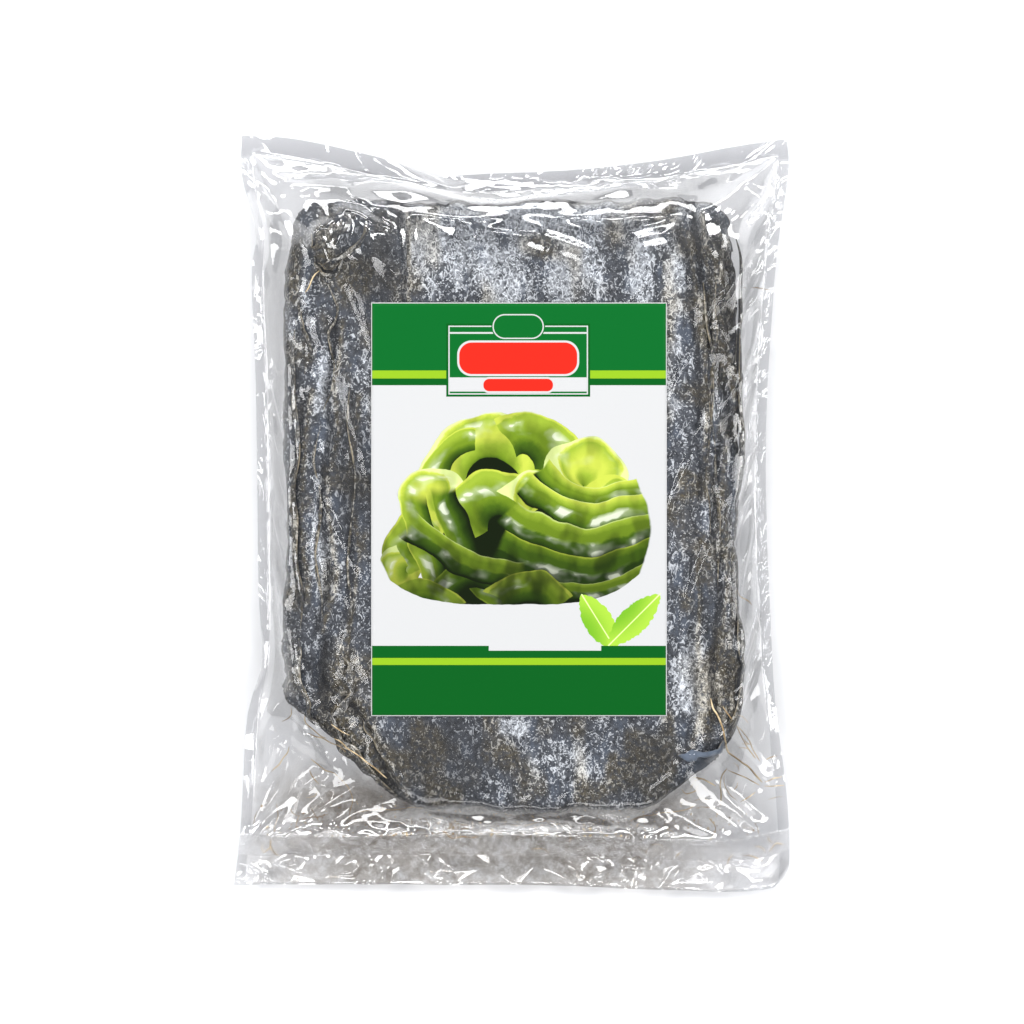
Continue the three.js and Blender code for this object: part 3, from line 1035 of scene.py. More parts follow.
# Long creases that the film was left with when it was drawn round the block: each one's route seen from
# above, how far its crest stands proud, or sinks where that is negative, and how wide each flank is.
FILM_CREASES = [
    ([(-136, 176), (-111, 140)], 2.6, 6),
    ([(-136, 176), (-122, 146), (-120, 118)], 2.2, 5),
    ([(-136, 176), (-129, 140), (-130, 112)], -1.8, 5),
    ([(-135, 175), (-100, 165), (-66, 163), (-30, 161)], 3.0, 7),
    ([(-128, 172), (-96, 172), (-60, 171)], -1.6, 4),
    ([(-118, 160), (-108, 166), (-104, 156)], 2.0, 5),
    ([(-90, 164), (-72, 156), (-58, 146)], 2.6, 6),
    ([(-86, 158), (-66, 149), (-52, 150)], -2.0, 5),
    ([(-96, 178), (-84, 166), (-78, 158)], 1.8, 5),
    ([(-60, 172), (-30, 163), (0, 164), (40, 162)], 3.2, 6),
    ([(-52, 151), (-26, 148), (4, 150)], 1.8, 4),
    ([(-10, 142), (18, 135), (42, 128), (58, 131)], 1.3, 4.6),
    ([(20, 150), (50, 146), (84, 150)], 1.6, 4),
    ([(-88, 156), (-72, 149), (-58, 142)], 1.8, 4),
    ([(-20, 168), (10, 160), (60, 165), (92, 160)], 2.8, 6),
    ([(30, 172), (60, 170), (90, 176)], -2.0, 5),
    ([(138, 182), (104, 156), (90, 150)], 3.4, 8),
    ([(138, 180), (116, 150), (110, 128)], 2.8, 6),
    ([(138, 178), (126, 148), (118, 118), (117, 84)], -2.4, 6),
    ([(137, 176), (130, 140), (124, 108), (123, 60)], 2.4, 5),
    ([(118, 60), (121, 20), (120, -20), (122, -66)], 2.2, 5),
    ([(124, 40), (125, 0), (125, -50), (131, -92)], -1.8, 4),
    ([(120, -66), (127, -100), (136, -130)], 2.4, 6),
    ([(104, -106), (120, -124), (137, -146)], 3.2, 7),
    ([(96, -116), (112, -136), (136, -156)], -2.4, 6),
    ([(88, -126), (104, -142), (131, -164)], 3.0, 7),
    ([(106, -140), (118, -154), (134, -160)], 2.4, 6),
    ([(76, -146), (92, -156), (120, -168)], 2.6, 6),
    ([(40, -150), (60, -160), (84, -164)], -2.0, 5),
    ([(-50, -150), (-20, -156), (20, -154), (60, -158)], 2.4, 5),
    ([(-76, -150), (-40, -160), (-6, -158)], -2.0, 5),
    ([(-60, -142), (-84, -152), (-110, -160), (-136, -168)], 3.0, 7),
    ([(-70, -132), (-92, -146), (-124, -166)], -2.2, 6),
    ([(-114, -110), (-98, -118), (-86, -130)], 3.4, 6),
    ([(-112, -142), (-98, -132), (-90, -142)], 2.8, 6),
    ([(-116, -106), (-120, -130), (-128, -152)], 2.4, 6),
    ([(-110, -96), (-112, -120), (-118, -146)], -2.0, 5),
    ([(-118, 90), (-121, 50), (-119, 10), (-122, -30)], 2.2, 5),
    ([(-124, 60), (-125, 20), (-124, -30), (-123, -76)], -1.6, 4),
    ([(-119, -10), (-120, -50), (-119, -80)], 2.0, 5),
    ([(-138, -172), (-118, -178), (-96, -186)], 3.2, 8),
    ([(-134, -176), (-120, -188)], -2.4, 6),
    ([(-80, -168), (-68, -178), (-62, -190)], 2.8, 7),
    ([(-50, -170), (-40, -180), (-28, -189)], 2.6, 7),
    ([(20, -170), (34, -180), (44, -190)], 3.0, 7),
    ([(56, -170), (64, -180), (60, -190)], -2.4, 6),
    ([(92, -170), (106, -180), (112, -190)], 3.0, 7),
    ([(112, -168), (124, -178), (132, -190)], 3.4, 8),
    ([(136, -166), (128, -178), (138, -184)], 2.4, 6),
    ([(-76, -158), (-66, -162), (-57, -158), (-48, -162)], 1.8, 2.8),
    ([(-54, -158), (-43, -162), (-36, -158), (-26, -163)], 1.9, 2.8),
    ([(-32, -158), (-21, -161), (-12, -157), (-2, -162)], 1.8, 2.6),
    ([(-8, -157), (4, -162), (14, -156), (24, -162)], 2.0, 3.0),
    ([(20, -157), (28, -162), (38, -155), (52, -160)], 2.2, 3.4),
    ([(-104, -162), (-92, -159), (-80, -163)], 1.8, 3.0),
    ([(58, -158), (70, -164), (84, -159)], 2.0, 3.4),
    ([(-50, 150), (-30, 147), (-10, 143), (11, 142), (18, 148)], 2.3, 8),
    ([(17, 147), (40, 150), (60, 151), (84, 150)], 2.0, 7),
    ([(-14, 142), (13, 141), (34, 134), (51, 130)], 1.2, 4.2),
    ([(51, 130), (61, 137), (76, 140), (85, 147)], 1.5, 5.2),
    ([(-112, 150), (-99, 142), (-86, 148)], 2.0, 4),
    ([(-101, 158), (-96, 146), (-102, 132)], 1.7, 4),
    ([(-92, 156), (-84, 145), (-88, 132)], 1.8, 4),
    ([(-80, 158), (-74, 148), (-62, 142)], 1.8, 4.5),
]


def raised_creases(x, y):
    """How far the long creases lift film at points: tents with flat flanks that die away at both ends."""
    lift = np.zeros(np.shape(x))
    for route, height, width in FILM_CREASES:
        walked = 0.0
        whole = sum(math.dist(a, b) for a, b in zip(route, route[1:]))
        crest = np.zeros(np.shape(x))
        for (ax, ay), (bx, by) in zip(route, route[1:]):
            length = math.dist((ax, ay), (bx, by))
            share = np.clip(((x - ax) * (bx - ax) + (y - ay) * (by - ay)) / length**2, 0, 1)
            away = np.hypot(x - ax - share * (bx - ax), y - ay - share * (by - ay))
            place = (walked + share * length) / whole
            taper = np.clip(np.minimum(place, 1 - place) * 3.2, 0.05, 1)
            crest = np.maximum(crest, np.clip(1 - away / (width * (0.4 + 0.6 * taper)), 0, 1) * taper)
            walked += length
        lift += height * crest
    return lift


def facets(web, seed):
    """How much crumpling lifts a web: long facets beside the block, and broad ones above and below it."""
    x, y = web[..., 0], web[..., 1]
    outside = ease(read_chart(chart_distance, x, y), 1, 10)
    flap = 1 - ease(film.t, LOWER_SEAL - 4, LOWER_SEAL + 8)
    outside = outside * (1 - 0.6 * ease(film.t, film_length - TOP_SEAL - 2, film_length - TOP_SEAL + 2))
    ends = ease(np.abs(y), 142, 158)
    long_facets = 0.8 * crumpled(x, y, 9.5, 30, seed)
    broad_facets = (1.4 + 1.7 * flap) * crumpled(x, y, 17, 10.5, seed + 1)
    small_facets = (0.2 + 0.3 * ends) * (1 - 0.65 * flap) * crumpled(x, y, 6, 6.5, seed + 2)
    return outside * (long_facets * (1 - ends) + broad_facets * ends + small_facets)


def crumple_film():
    """Creases the spare film round the block. Both webs crease as one where they are sealed together."""
    front, back = film.points
    side = np.minimum(film.s, film_width - film.s) - SIDE_SEAL
    loose = ease(np.minimum(np.minimum(side, film_length - TOP_SEAL - film.t), film.t - LOWER_SEAL), 0, 9)
    shared = facets(front, 301)
    shared += raised_creases(front[..., 0], front[..., 1])
    front[..., 2] += shared
    top = read_chart(contents, front[..., 0], front[..., 1])
    front[..., 2] = np.where(top > 5, np.maximum(front[..., 2], top + FILM_GAP), front[..., 2])
    back[..., 2] += shared * (1 - loose) + loose * facets(back, 311)
    back[..., 2] = np.maximum(back[..., 2], 0.3)
    front[..., 2] = np.maximum(front[..., 2], back[..., 2] + 0.25 * loose)


crumple_film()


# Where the film shines more, measured along it from its lower end: just above the ribs, over the lower
# margin and on the stretch below the top seal, which is also painted a little darker there as shade. Each
# pair of numbers is where one gradual change starts and ends.
ABOVE_RIBS = (24.0, 26.0, 31.0, 35.0)
LOWER_MARGIN = (38.0, 56.0)
TIGHT_TOP = (film_length - 64, film_length - 48)
UPPER_SHADE = (film_length - 52, film_length - 26)
RIB_SOFTNESS = 0.5

# How many times as glossy as bare plastic each web is, and the mirror's greatest share.
FRONT_GLOSS = (1.9, 1.0)
BACK_GLOSS = (0.7, 0.3)


def make_film_finish(name, gloss, most):
    """Clear film: mostly see-through, hazy where it is sealed, with a gloss that grows at a slant."""
    material, start = new_finish(name)
    place = millimetres(start)
    along = painted(start, "along")
    seal = painted(start, "seal")
    fresnel = start.node("ShaderNodeFresnel", {}, {"IOR": 1.5})
    ripple = place.noise(6.0, 2.0, 0.5)
    ribs = start.node("ShaderNodeMath", {"operation": "SINE"}, {0: along * (2 * math.pi / RIB_PITCH)})
    band = along.step(RIBBED_BAND[0] - RIB_SOFTNESS, RIBBED_BAND[0])
    band = band * (1 - along.step(RIBBED_BAND[1], RIBBED_BAND[1] + RIB_SOFTNESS))
    broken = place.noise(4.0, 2.0, 0.6).step(0.4, 0.6)
    pressed_line = (1 - abs(seal - 1.0) / 0.1).most(0.0)
    glitter = place.noise(1.1, 2.0, 0.6) * band
    relief = ripple * 0.25 + ribs * band * broken * 0.7 + glitter * 2.6 + pressed_line * 0.4
    bump = start.node("ShaderNodeBump", {}, {"Strength": 1.0, "Distance": 0.0005, "Height": relief})
    dust = painted(start, "dust") * place.noise(5.0, 4.0, 0.7).step(0.25, 0.65)
    # The seals are hazy. The top seal is greyed more than the side seals, and the stretch below it a
    # little, as painted shade.
    top_sealed = along.step(film_length - TOP_SEAL - 1, film_length - TOP_SEAL)
    haze_and_shade = (0.6 + 0.4 * top_sealed) * (1 - seal.step(0.97, 1.03))
    haze_and_shade = haze_and_shade.most(band * 0.6).most(0.1 * along.step(*UPPER_SHADE))
    see_through = start.node("ShaderNodeBsdfTransparent", {}, {"Color": (0.985, 0.985, 0.987, 1)})
    hazy_and_shaded = start.node("ShaderNodeBsdfTransparent", {}, {"Color": (0.79, 0.79, 0.8, 1)})
    # A brownish darker film: dust on the back web, and dust with painted shade on the front web's steep
    # facets.
    brownish = start.node("ShaderNodeBsdfTransparent", {}, {"Color": (0.5, 0.455, 0.4, 1)})
    clear = start.node("ShaderNodeMixShader", {}, {0: haze_and_shade, 1: see_through, 2: hazy_and_shaded})
    clear = start.node("ShaderNodeMixShader", {}, {0: dust, 1: clear, 2: brownish})
    shinier = 1.6 * along.step(*ABOVE_RIBS[:2]) * (1 - along.step(*ABOVE_RIBS[2:]))
    shinier = shinier + 0.5 * (1 - along.step(*LOWER_MARGIN)) + 0.8 * along.step(*TIGHT_TOP)
    shine = (fresnel * gloss * (1 + shinier)).least(most) * (1 - 0.72 * painted(start, "cling"))
    mirror = start.node(
        "ShaderNodeBsdfPrincipled",
        {},
        {"Base Color": (1, 1, 1, 1), "Metallic": 1.0, "Roughness": 0.05, "Normal": bump},
    )
    surface = start.node("ShaderNodeMixShader", {}, {0: shine, 1: clear, 2: mirror})
    start.node("ShaderNodeOutputMaterial", {}, {"Surface": surface})
    return material


front_points = film.points[0].copy()
back_points = film.points[1].copy()
front_points[film.sealed, 2] += SEAL_HALF_THICKNESS
back_points[film.sealed, 2] -= SEAL_HALF_THICKNESS
rows, columns = film.sealed.shape
front_web = add_mesh("front_web", front_points.reshape(-1, 3), grid_faces(rows, columns))
back_points = back_points[::2, ::2]
back_faces = grid_faces(*back_points.shape[:2])[:, ::-1]
back_web = add_mesh("back_web", back_points.reshape(-1, 3), back_faces)
front_web.data.materials.append(make_film_finish("clear_film", *FRONT_GLOSS))
back_web.data.materials.append(make_film_finish("clear_film_back", *BACK_GLOSS))

# Dust has sunk between the webs to the lower seal. On the front web the same darker film is painted
# shade on the steep facets of the lower part, most where the dust lies.
dusty = 1 - ease(np.abs(film.s - film_width / 2 + 12), 62, 138)
dusty *= (0.8 + 0.2 * ease(film.t, 6, 24)) * (1 - ease(film.t, 43, 67))
grid_normal = np.cross(np.gradient(film.points[0], axis=1), np.gradient(film.points[0], axis=0))
steep = ease(1 - np.abs(grid_normal[..., 2]) / np.linalg.norm(grid_normal, axis=-1), 0.01, 0.22)
slope_shade_and_dust = steep * (0.12 + 0.6 * dusty) * (1 - ease(film.t, 38, 62))
# How far a point has come through the nearest seal, from 0 at the bag's rim to 1 where the seal ends.
seal_reach = np.minimum(
    np.minimum(film.s, film_width - film.s) / SIDE_SEAL,
    np.minimum((film_length - film.t) / TOP_SEAL, (film.t + 4) / 5),
)
# Where the film clings to the kelp and loses its gloss, less so by the block's upper and left sides.
cling = 1 - ease(read_chart(chart_distance, film.points[0, ..., 0], film.points[0, ..., 1]), -4, 4)
cling *= 1 - 0.85 * ease(film.points[0, ..., 1], 118, 146)
cling *= 1 - 0.5 * ease(-film.points[0, ..., 0], 98, 108)
for web, spacing, dust in ((front_web, 1, slope_shade_and_dust), (back_web, 2, 0.95 * dusty)):
    paint(web, "along", np.ravel(film.t[::spacing, ::spacing]))
    paint(web, "dust", np.ravel(dust[::spacing, ::spacing]))
    paint(web, "seal", np.ravel(seal_reach[::spacing, ::spacing]))
    paint(web, "cling", np.ravel(cling[::spacing, ::spacing]))
    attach(web, "root")
    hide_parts("bag")

# ---------------------------------------------------------------------------------------------------------
# Root hairs and crumbs. Thin golden-brown threads of dried holdfast lie loose between the webs, most of
# them at the bag's lower corners, with broken bits of kelp and dust that have sunk to the lower seal.
# ---------------------------------------------------------------------------------------------------------
HAIR_RADIUS = 0.3
HAIR_SIDES = 5
HAIR_STEP = 1.3
LOOSE_HAIRS = 34
CRUMBS = 700

# Each hair's route seen from above, and its thickness against the usual one.
ROOT_HAIRS = [
    ([(-105, -101), (-104, -106), (-99, -111), (-94, -113)], 1.0),
    ([(-104, -110), (-95, -114), (-87, -116), (-83, -119)], 1.1),
    ([(-89, -112), (-84, -116), (-74, -123), (-63, -132)], 1.2),
    ([(-116, -105), (-112, -102), (-111, -98)], 0.9),
    ([(-122, -130), (-116, -125), (-113, -117)], 1.0),
    ([(-102, -123), (-95, -128), (-85, -135), (-81, -143), (-82, -152)], 0.9),
    ([(-103, -129), (-101, -133), (-97, -136)], 1.1),
    ([(-119, -147), (-118, -152), (-120, -159)], 0.8),
    ([(-106, -154), (-93, -152)], 0.8),
    ([(-102, -147), (-98, -156)], 0.7),
    ([(-80, -150), (-70, -149), (-58, -149), (-45, -148)], 0.9),
    ([(-91, -105), (-87, -108), (-81, -111)], 1.2),
    ([(-126, -172), (-122, -168), (-118, -173)], 0.8),
    ([(-38, -159), (-34, -161), (-30, -163), (-17, -163)], 0.9),
    ([(-14, -160), (-10, -157)], 1.2),
    ([(-2, -157), (8, -157), (17, -155), (22, -155)], 0.9),
    ([(100, -92), (101, -97), (105, -106), (107, -114), (109, -120), (116, -125), (126, -135)], 1.6),
    ([(105, -96), (109, -101), (113, -106), (117, -114), (123, -123)], 1.2),
    ([(114, -107), (119, -114), (125, -125)], 1.0),
    ([(109, -129), (118, -133), (126, -137)], 1.0),
    ([(109, -128), (106, -131), (105, -137), (105, -147)], 1.2),
    ([(107, -132), (109, -139), (113, -145)], 0.8),
    ([(91, -133), (97, -134), (103, -137)], 1.2),
    ([(86, -139), (88, -141), (93, -139), (94, -136)], 1.0),
    ([(128, -136), (137, -132)], 0.9),
    ([(128, -137), (138, -137)], 0.8),
    ([(115, -145), (123, -141)], 0.8),
    ([(95, -148), (101, -148), (105, -151)], 0.9),
    ([(58, -155), (71, -152), (88, -149), (93, -147)], 0.9),
    ([(127, -125), (134, -122)], 0.8),
    ([(113, -38), (118, -43), (121, -46)], 1.0),
    ([(-104, 111), (-101, 117), (-99, 120), (-96, 122)], 1.3),
    ([(121, 115), (130, 113)], 0.8),
]

web_faces = grid_faces(rows, columns).tolist()
front_tree = BVHTree.FromPolygons(film.points[0].reshape(-1, 3).tolist(), web_faces)
back_tree = BVHTree.FromPolygons(film.points[1].reshape(-1, 3).tolist(), web_faces)


def between_webs(x, y, share=0.5):
    """A height between the two webs over a point, or close under the upper one above the block."""
    above = front_tree.ray_cast(Vector((x, y, 100)), Vector((0, 0, -1)))[0]
    below = back_tree.ray_cast(Vector((x, y, -50)), Vector((0, 0, 1)))[0]
    if above is None or below is None:
        return None
    if read_chart(chart_distance, np.array([x]), np.array([y]))[0] < 1:
        return above.z - 0.2
    return below.z + (above.z - below.z) * share


def hair_tube(route, radius, seed):
    """A closed thin tube along a route between the webs, with its ends drawn to points."""
    path = smooth_route(route, HAIR_STEP)
    walk = np.arange(len(path)) * HAIR_STEP
    wander = [waver(walk, 5, seed), waver(walk, 5, seed + 1)]
    path = path + np.stack(wander, 1) * 0.7
    heights = [between_webs(x, y) for x, y in path]
    if any(height is None for height in heights):
        return None
    heights = np.array(heights)
    for _ in range(6):
        heights[1:-1] = (heights[:-2] + heights[1:-1] + heights[2:]) / 3
    ahead = np.gradient(path, axis=0)
    ahead /= np.linalg.norm(ahead, axis=1)[:, None] + 1e-9
    size = radius * np.minimum(1, 0.35 + np.minimum(np.arange(len(path)), np.arange(len(path))[::-1]) / 3)
    rings = []
    for angle in np.arange(HAIR_SIDES) * 2 * math.pi / HAIR_SIDES:
        out = size * math.cos(angle)
        lifted = heights + size * math.sin(angle)
        rings.append(np.stack([path[:, 0] + ahead[:, 1] * out, path[:, 1] - ahead[:, 0] * out, lifted], -1))
    points = np.stack(rings, 1)
    number = np.arange(points.shape[0] * HAIR_SIDES).reshape(-1, HAIR_SIDES)
    onward = np.roll(number, -1, 1)
    sides = np.stack([number[:-1], number[1:], onward[1:], onward[:-1]], -1).reshape(-1, 4)
    return points.reshape(-1, 3), [*sides.tolist(), number[0].tolist(), number[-1][::-1].tolist()]


def loose_routes():
    """Short bent hairs strewn over the lower margin, more of them towards its corners."""
    rng = np.random.default_rng(77)
    routes = []
    while len(routes) < LOOSE_HAIRS:
        x = rng.uniform(-132, 132)
        y = rng.uniform(-178, -100)
        if read_chart(chart_distance, np.array([x]), np.array([y]))[0] < 1:
            continue
        turn = rng.uniform(0, math.pi)
        length = rng.uniform(4, 11)
        route = [(x, y)]
        for _ in range(2):
            x += length / 2 * math.cos(turn)
            y += length / 2 * math.sin(turn)
            turn += rng.uniform(-0.9, 0.9)
            route.append((x, y))
        routes.append((route, rng.uniform(0.5, 0.9)))
    return routes


def make_hairs():
    """All the root hairs in one piece, the long ones first and then the short loose ones."""
    points, faces = [], []
    start = 0
    for index, (route, thickness) in enumerate(ROOT_HAIRS + loose_routes()):
        tube = hair_tube(route, HAIR_RADIUS * thickness, 400 + 2 * index)
        if tube is None:
            continue
        points.append(tube[0])
        faces += [[start + corner for corner in face] for face in tube[1]]
        start += len(tube[0])
    return add_mesh("kelp_hairs", np.concatenate(points), faces)


def make_crumbs():
    """Crushed bits of frond, each an uneven eight-sided grain, thickest along the lower seal."""
    rng = np.random.default_rng(78)
    corners = np.array([(1, 0, 0), (0, 1, 0), (-1, 0, 0), (0, -1, 0), (0, 0, 1), (0, 0, -1)], float)
    sides = [(0, 1, 4), (1, 2, 4), (2, 3, 4), (3, 0, 4), (1, 0, 5), (2, 1, 5), (3, 2, 5), (0, 3, 5)]
    points, faces = [], []
    while len(points) < CRUMBS:
        x = rng.normal(0, 62)
        y = -163 + abs(rng.normal(0, 9))
        if abs(x) > 128 or read_chart(chart_distance, np.array([x]), np.array([y]))[0] < 1.5:
            continue
        height = between_webs(x, y, rng.uniform(0.25, 0.6))
        if height is None:
            continue
        size = rng.uniform(0.18, 0.42) * rng.choice([1, 1, 1, 1.8])
        grain = corners * (size * rng.uniform(0.6, 1.4, (6, 3)) * [1, 1, 0.45])
        turn = rng.uniform(0, math.pi)
        cosine, sine = math.cos(turn), math.sin(turn)
        turned = grain[:, :2] @ np.array([[cosine, sine], [-sine, cosine]])
        faces += [[6 * len(points) + corner for corner in side] for side in sides]
        points.append(np.column_stack([turned, grain[:, 2]]) + [x, y, height])
    return add_mesh("kelp_crumbs", np.concatenate(points), faces, smooth=False)


def make_hair_finish():
    """Dry horny root: golden brown, paler in patches."""
    material, start = new_finish("kelp_root")
    place = millimetres(start)
    colour = place.noise(7.0, 2.0, 0.6).step(0.35, 0.65).mix((0.36, 0.24, 0.11), (0.85, 0.67, 0.4))
    surface = start.node("ShaderNodeBsdfPrincipled", {}, {"Base Color": colour, "Roughness": 0.45})
    start.node("ShaderNodeOutputMaterial", {}, {"Surface": surface})
    return material


hairs = make_hairs()
crumbs = make_crumbs()
hair_finish = make_hair_finish()
for bits in (hairs, crumbs):
    bits.data.materials.append(hair_finish)
    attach(bits, "root")

# ---------------------------------------------------------------------------------------------------------
# Label. A sheet of coated paper, stuck to the film by its whole back. It is printed in green bands with
# lime rules on white, with a heap of soaked kelp in the middle, a sprig beside it and a plain red panel.
# ---------------------------------------------------------------------------------------------------------
LABEL_CELLS = (74, 104)
LABEL_THICKNESS = 0.22
LABEL_SINK = 0.9
GREEN = (0.0003, 0.124, 0.0163)
DEEP_GREEN = (0.0, 0.094, 0.009)
LIME = (0.259, 0.463, 0.0135)
PAPER = (0.572, 0.572, 0.567)
RED = (0.655, 0.0195, 0.0092)
TOP_BAND = 62.0
TOP_RULE = (65.4, 69.4)
LOW_BAND = -68.2
LOW_RULE = (-78.0, -74.5)
INK_EDGE = 0.2
BARE_EDGE = 0.35
# The panel at the top, from its lowest layer of ink up: middle height, half size, corner radius, colour.
PANEL = [
    (74.7, (35.9, 18.2), 0.0, DEEP_GREEN),
    (74.7, (34.8, 17.1), 0.0, PAPER),
    (74.7, (34.2, 16.5), 0.0, GREEN),
    (88.3, (34.2, 0.3), 0.0, PAPER),
    (62.5, (34.2, 3.4), 0.0, PAPER),
    (91.5, (13.3, 6.7), 6.6, GREEN),
    (91.5, (12.7, 6.1), 6.0, PAPER),
    (91.5, (12.1, 5.5), 5.4, GREEN),
    (75.6, (30.4, 8.8), 7.0, PAPER),
    (75.6, (29.4, 7.8), 6.2, RED),
    (62.2, (18.2, 3.9), 3.6, PAPER),
    (62.2, (17.3, 3.0), 2.8, RED),
]


def label_top(x, y):
    """The height of the label's printed face."""
    return label_high.z - LABEL_SINK + 0.25 * lumps(x, y, 40, 60, 71)


def make_label():
    """A thin sheet with a front, a back and four edges, slightly wavy like paper stuck to soft film."""
    columns, rows = LABEL_CELLS
    x, y = np.meshgrid(
        np.linspace(label_low.x, label_high.x, columns + 1),
        np.linspace(label_low.y, label_high.y, rows + 1),
    )
    z = label_top(x, y)
    front = np.stack([x, y, z], -1).reshape(-1, 3)
    back = front - [0, 0, LABEL_THICKNESS]
    faces = grid_faces(rows + 1, columns + 1)
    number = np.arange(len(front)).reshape(rows + 1, columns + 1)
    loop = np.concatenate([number[0, :-1], number[:-1, -1], number[-1, :0:-1], number[:0:-1, 0]])
    onward = np.roll(loop, -1)
    edge = np.stack([loop, loop + len(front), onward + len(front), onward], 1)
    return add_mesh(
        "label_sheet", np.concatenate([front, back]), [*faces, *(faces[:, ::-1] + len(front)), *edge]
    )


def box_mask(place, centre, half_size, corner=0.0, soft=0.25):
    """1 inside a rectangle with round corners, 0 outside."""
    offset = place - (*centre, 0.0)
    reach = place.node("ShaderNodeVectorMath", {"operation": "ABSOLUTE"}, {0: offset})
    beyond = (reach - (half_size[0] - corner, half_size[1] - corner, 0.0)) * (1.0, 1.0, 0.0)
    outer = place.node("ShaderNodeVectorMath", {"operation": "MAXIMUM"}, {0: beyond, 1: (0, 0, 0)})
    return 1 - outer.length().step(corner, corner + soft)


def frond(picture, covered, place, wet, centre, radius, width, facing, spread, tones):
    """Lays a bent frond over the picture: a stretch of a ring about centre, facing that way, in degrees."""
    offset = (place - (*centre, 0.0)) * (1.0, 1.0, 0.0)
    reach = offset.length()
    way = (math.cos(math.radians(facing)), math.sin(math.radians(facing)), 0.0)
    ahead = offset.node("ShaderNodeVectorMath", {"operation": "DOT_PRODUCT"}, {0: offset, 1: way}, "Value")
    turned = ahead / reach.most(0.1)
    across = (reach - radius) / width + 0.5
    inside = (0.5 - abs(across - 0.5)) * width
    limit = math.cos(math.radians(spread))
    mask = inside.step(0.0, 0.35) * turned.step(limit, limit + 0.02)
    stops = list(zip((0.0, 0.06, 0.25, 0.42, 0.47, 0.54, 0.84, 0.93, 0.97), tones))
    streak = 0.16 * (place * (1.0, 1.0, 0.0)).noise(5.0, 3.0, 0.6) - 0.08
    depth = across + 0.5 * (1 - turned) * (1 - turned) + streak * inside.step(0.6, 2.0)
    print_tone = place.node("ShaderNodeValToRGB", {"stops": stops}, {0: depth}, out="Color")
    glint = ((1 - abs(across - 0.64) / 0.22) * 1.5).most(0.0).least(1.0) * wet
    return mask.mix(picture, glint.mix(print_tone, INK["shine"])), covered.most(mask)


INK = {
    "black": (0.004, 0.009, 0.001),
    "deep": (0.02, 0.05, 0.003),
    "dark": (0.06, 0.125, 0.006),
    "green": (0.155, 0.25, 0.013),
    "fresh": (0.3, 0.42, 0.034),
    "yellow": (0.52, 0.6, 0.07),
    "pale": (0.66, 0.76, 0.28),
    "shine": (0.88, 0.92, 0.74),
}


def tones(*names):
    """The inks of a frond from one of its edges to the other."""
    return [INK[name] for name in names]


# A humped frond's tones from its shaded foot up to its rim, and a sagging one's from its rim down.
YELLOW_HUMP = tones("dark", "green", "fresh", "yellow", "yellow", "yellow", "fresh", "yellow", "pale")
GREEN_HUMP = tones("black", "deep", "dark", "green", "green", "green", "fresh", "fresh", "yellow")
DARK_HUMP = tones("black", "black", "deep", "dark", "dark", "dark", "green", "green", "fresh")
FRESH_SAG = tones("pale", "yellow", "fresh", "green", "green", "green", "dark", "deep", "black")
GREEN_SAG = tones("pale", "fresh", "green", "green", "green", "dark", "deep", "black", "black")
DARK_SAG = tones("yellow", "green", "dark", "dark", "dark", "deep", "deep", "black", "black")

# From the back of the heap to its front: centre, radius, width, facing, half its stretch, and its tones.
HEAP = [
    ((-12, 12), 25, 25, 104, 86, YELLOW_HUMP),
    ((2, 20), 18, 24, 62, 60, GREEN_HUMP),
    ((32, 13), 11, 22, 66, 112, YELLOW_HUMP),
    ((44, -4), 10, 20, 28, 104, GREEN_HUMP),
    ((-20, 12), 22, 13, 142, 48, GREEN_HUMP),
    ((-40, 2), 10, 20, 138, 112, YELLOW_HUMP),
    ((-46, -22), 12, 20, 156, 96, GREEN_HUMP),
    ((-55, -32), 9, 15, 186, 76, YELLOW_HUMP),
    ((-10, -8), 17, 22, 112, 92, GREEN_HUMP),
    ((8, -2), 13, 18, 64, 84, YELLOW_HUMP),
    ((42, 44), 38, 11, 262, 46, FRESH_SAG),
    ((40, 46), 50, 14, 262, 42, FRESH_SAG),
    ((36, 48), 65, 16, 264, 36, GREEN_SAG),
    ((34, 46), 78, 19, 268, 33, DARK_SAG),
    ((54, 22), 92, 15, 208, 22, DARK_HUMP),
    ((58, 16), 112, 13, 204, 20, GREEN_HUMP),
    ((-22, -46), 16, 15, 112, 64, DARK_HUMP),
    ((8, 66), 98, 13, 248, 20, GREEN_SAG),
    ((26, 50), 92, 10, 272, 26, GREEN_SAG),
    ((2, -56), 19, 15, 84, 58, GREEN_HUMP),
    ((-48, -62), 20, 14, 84, 46, GREEN_HUMP),
]


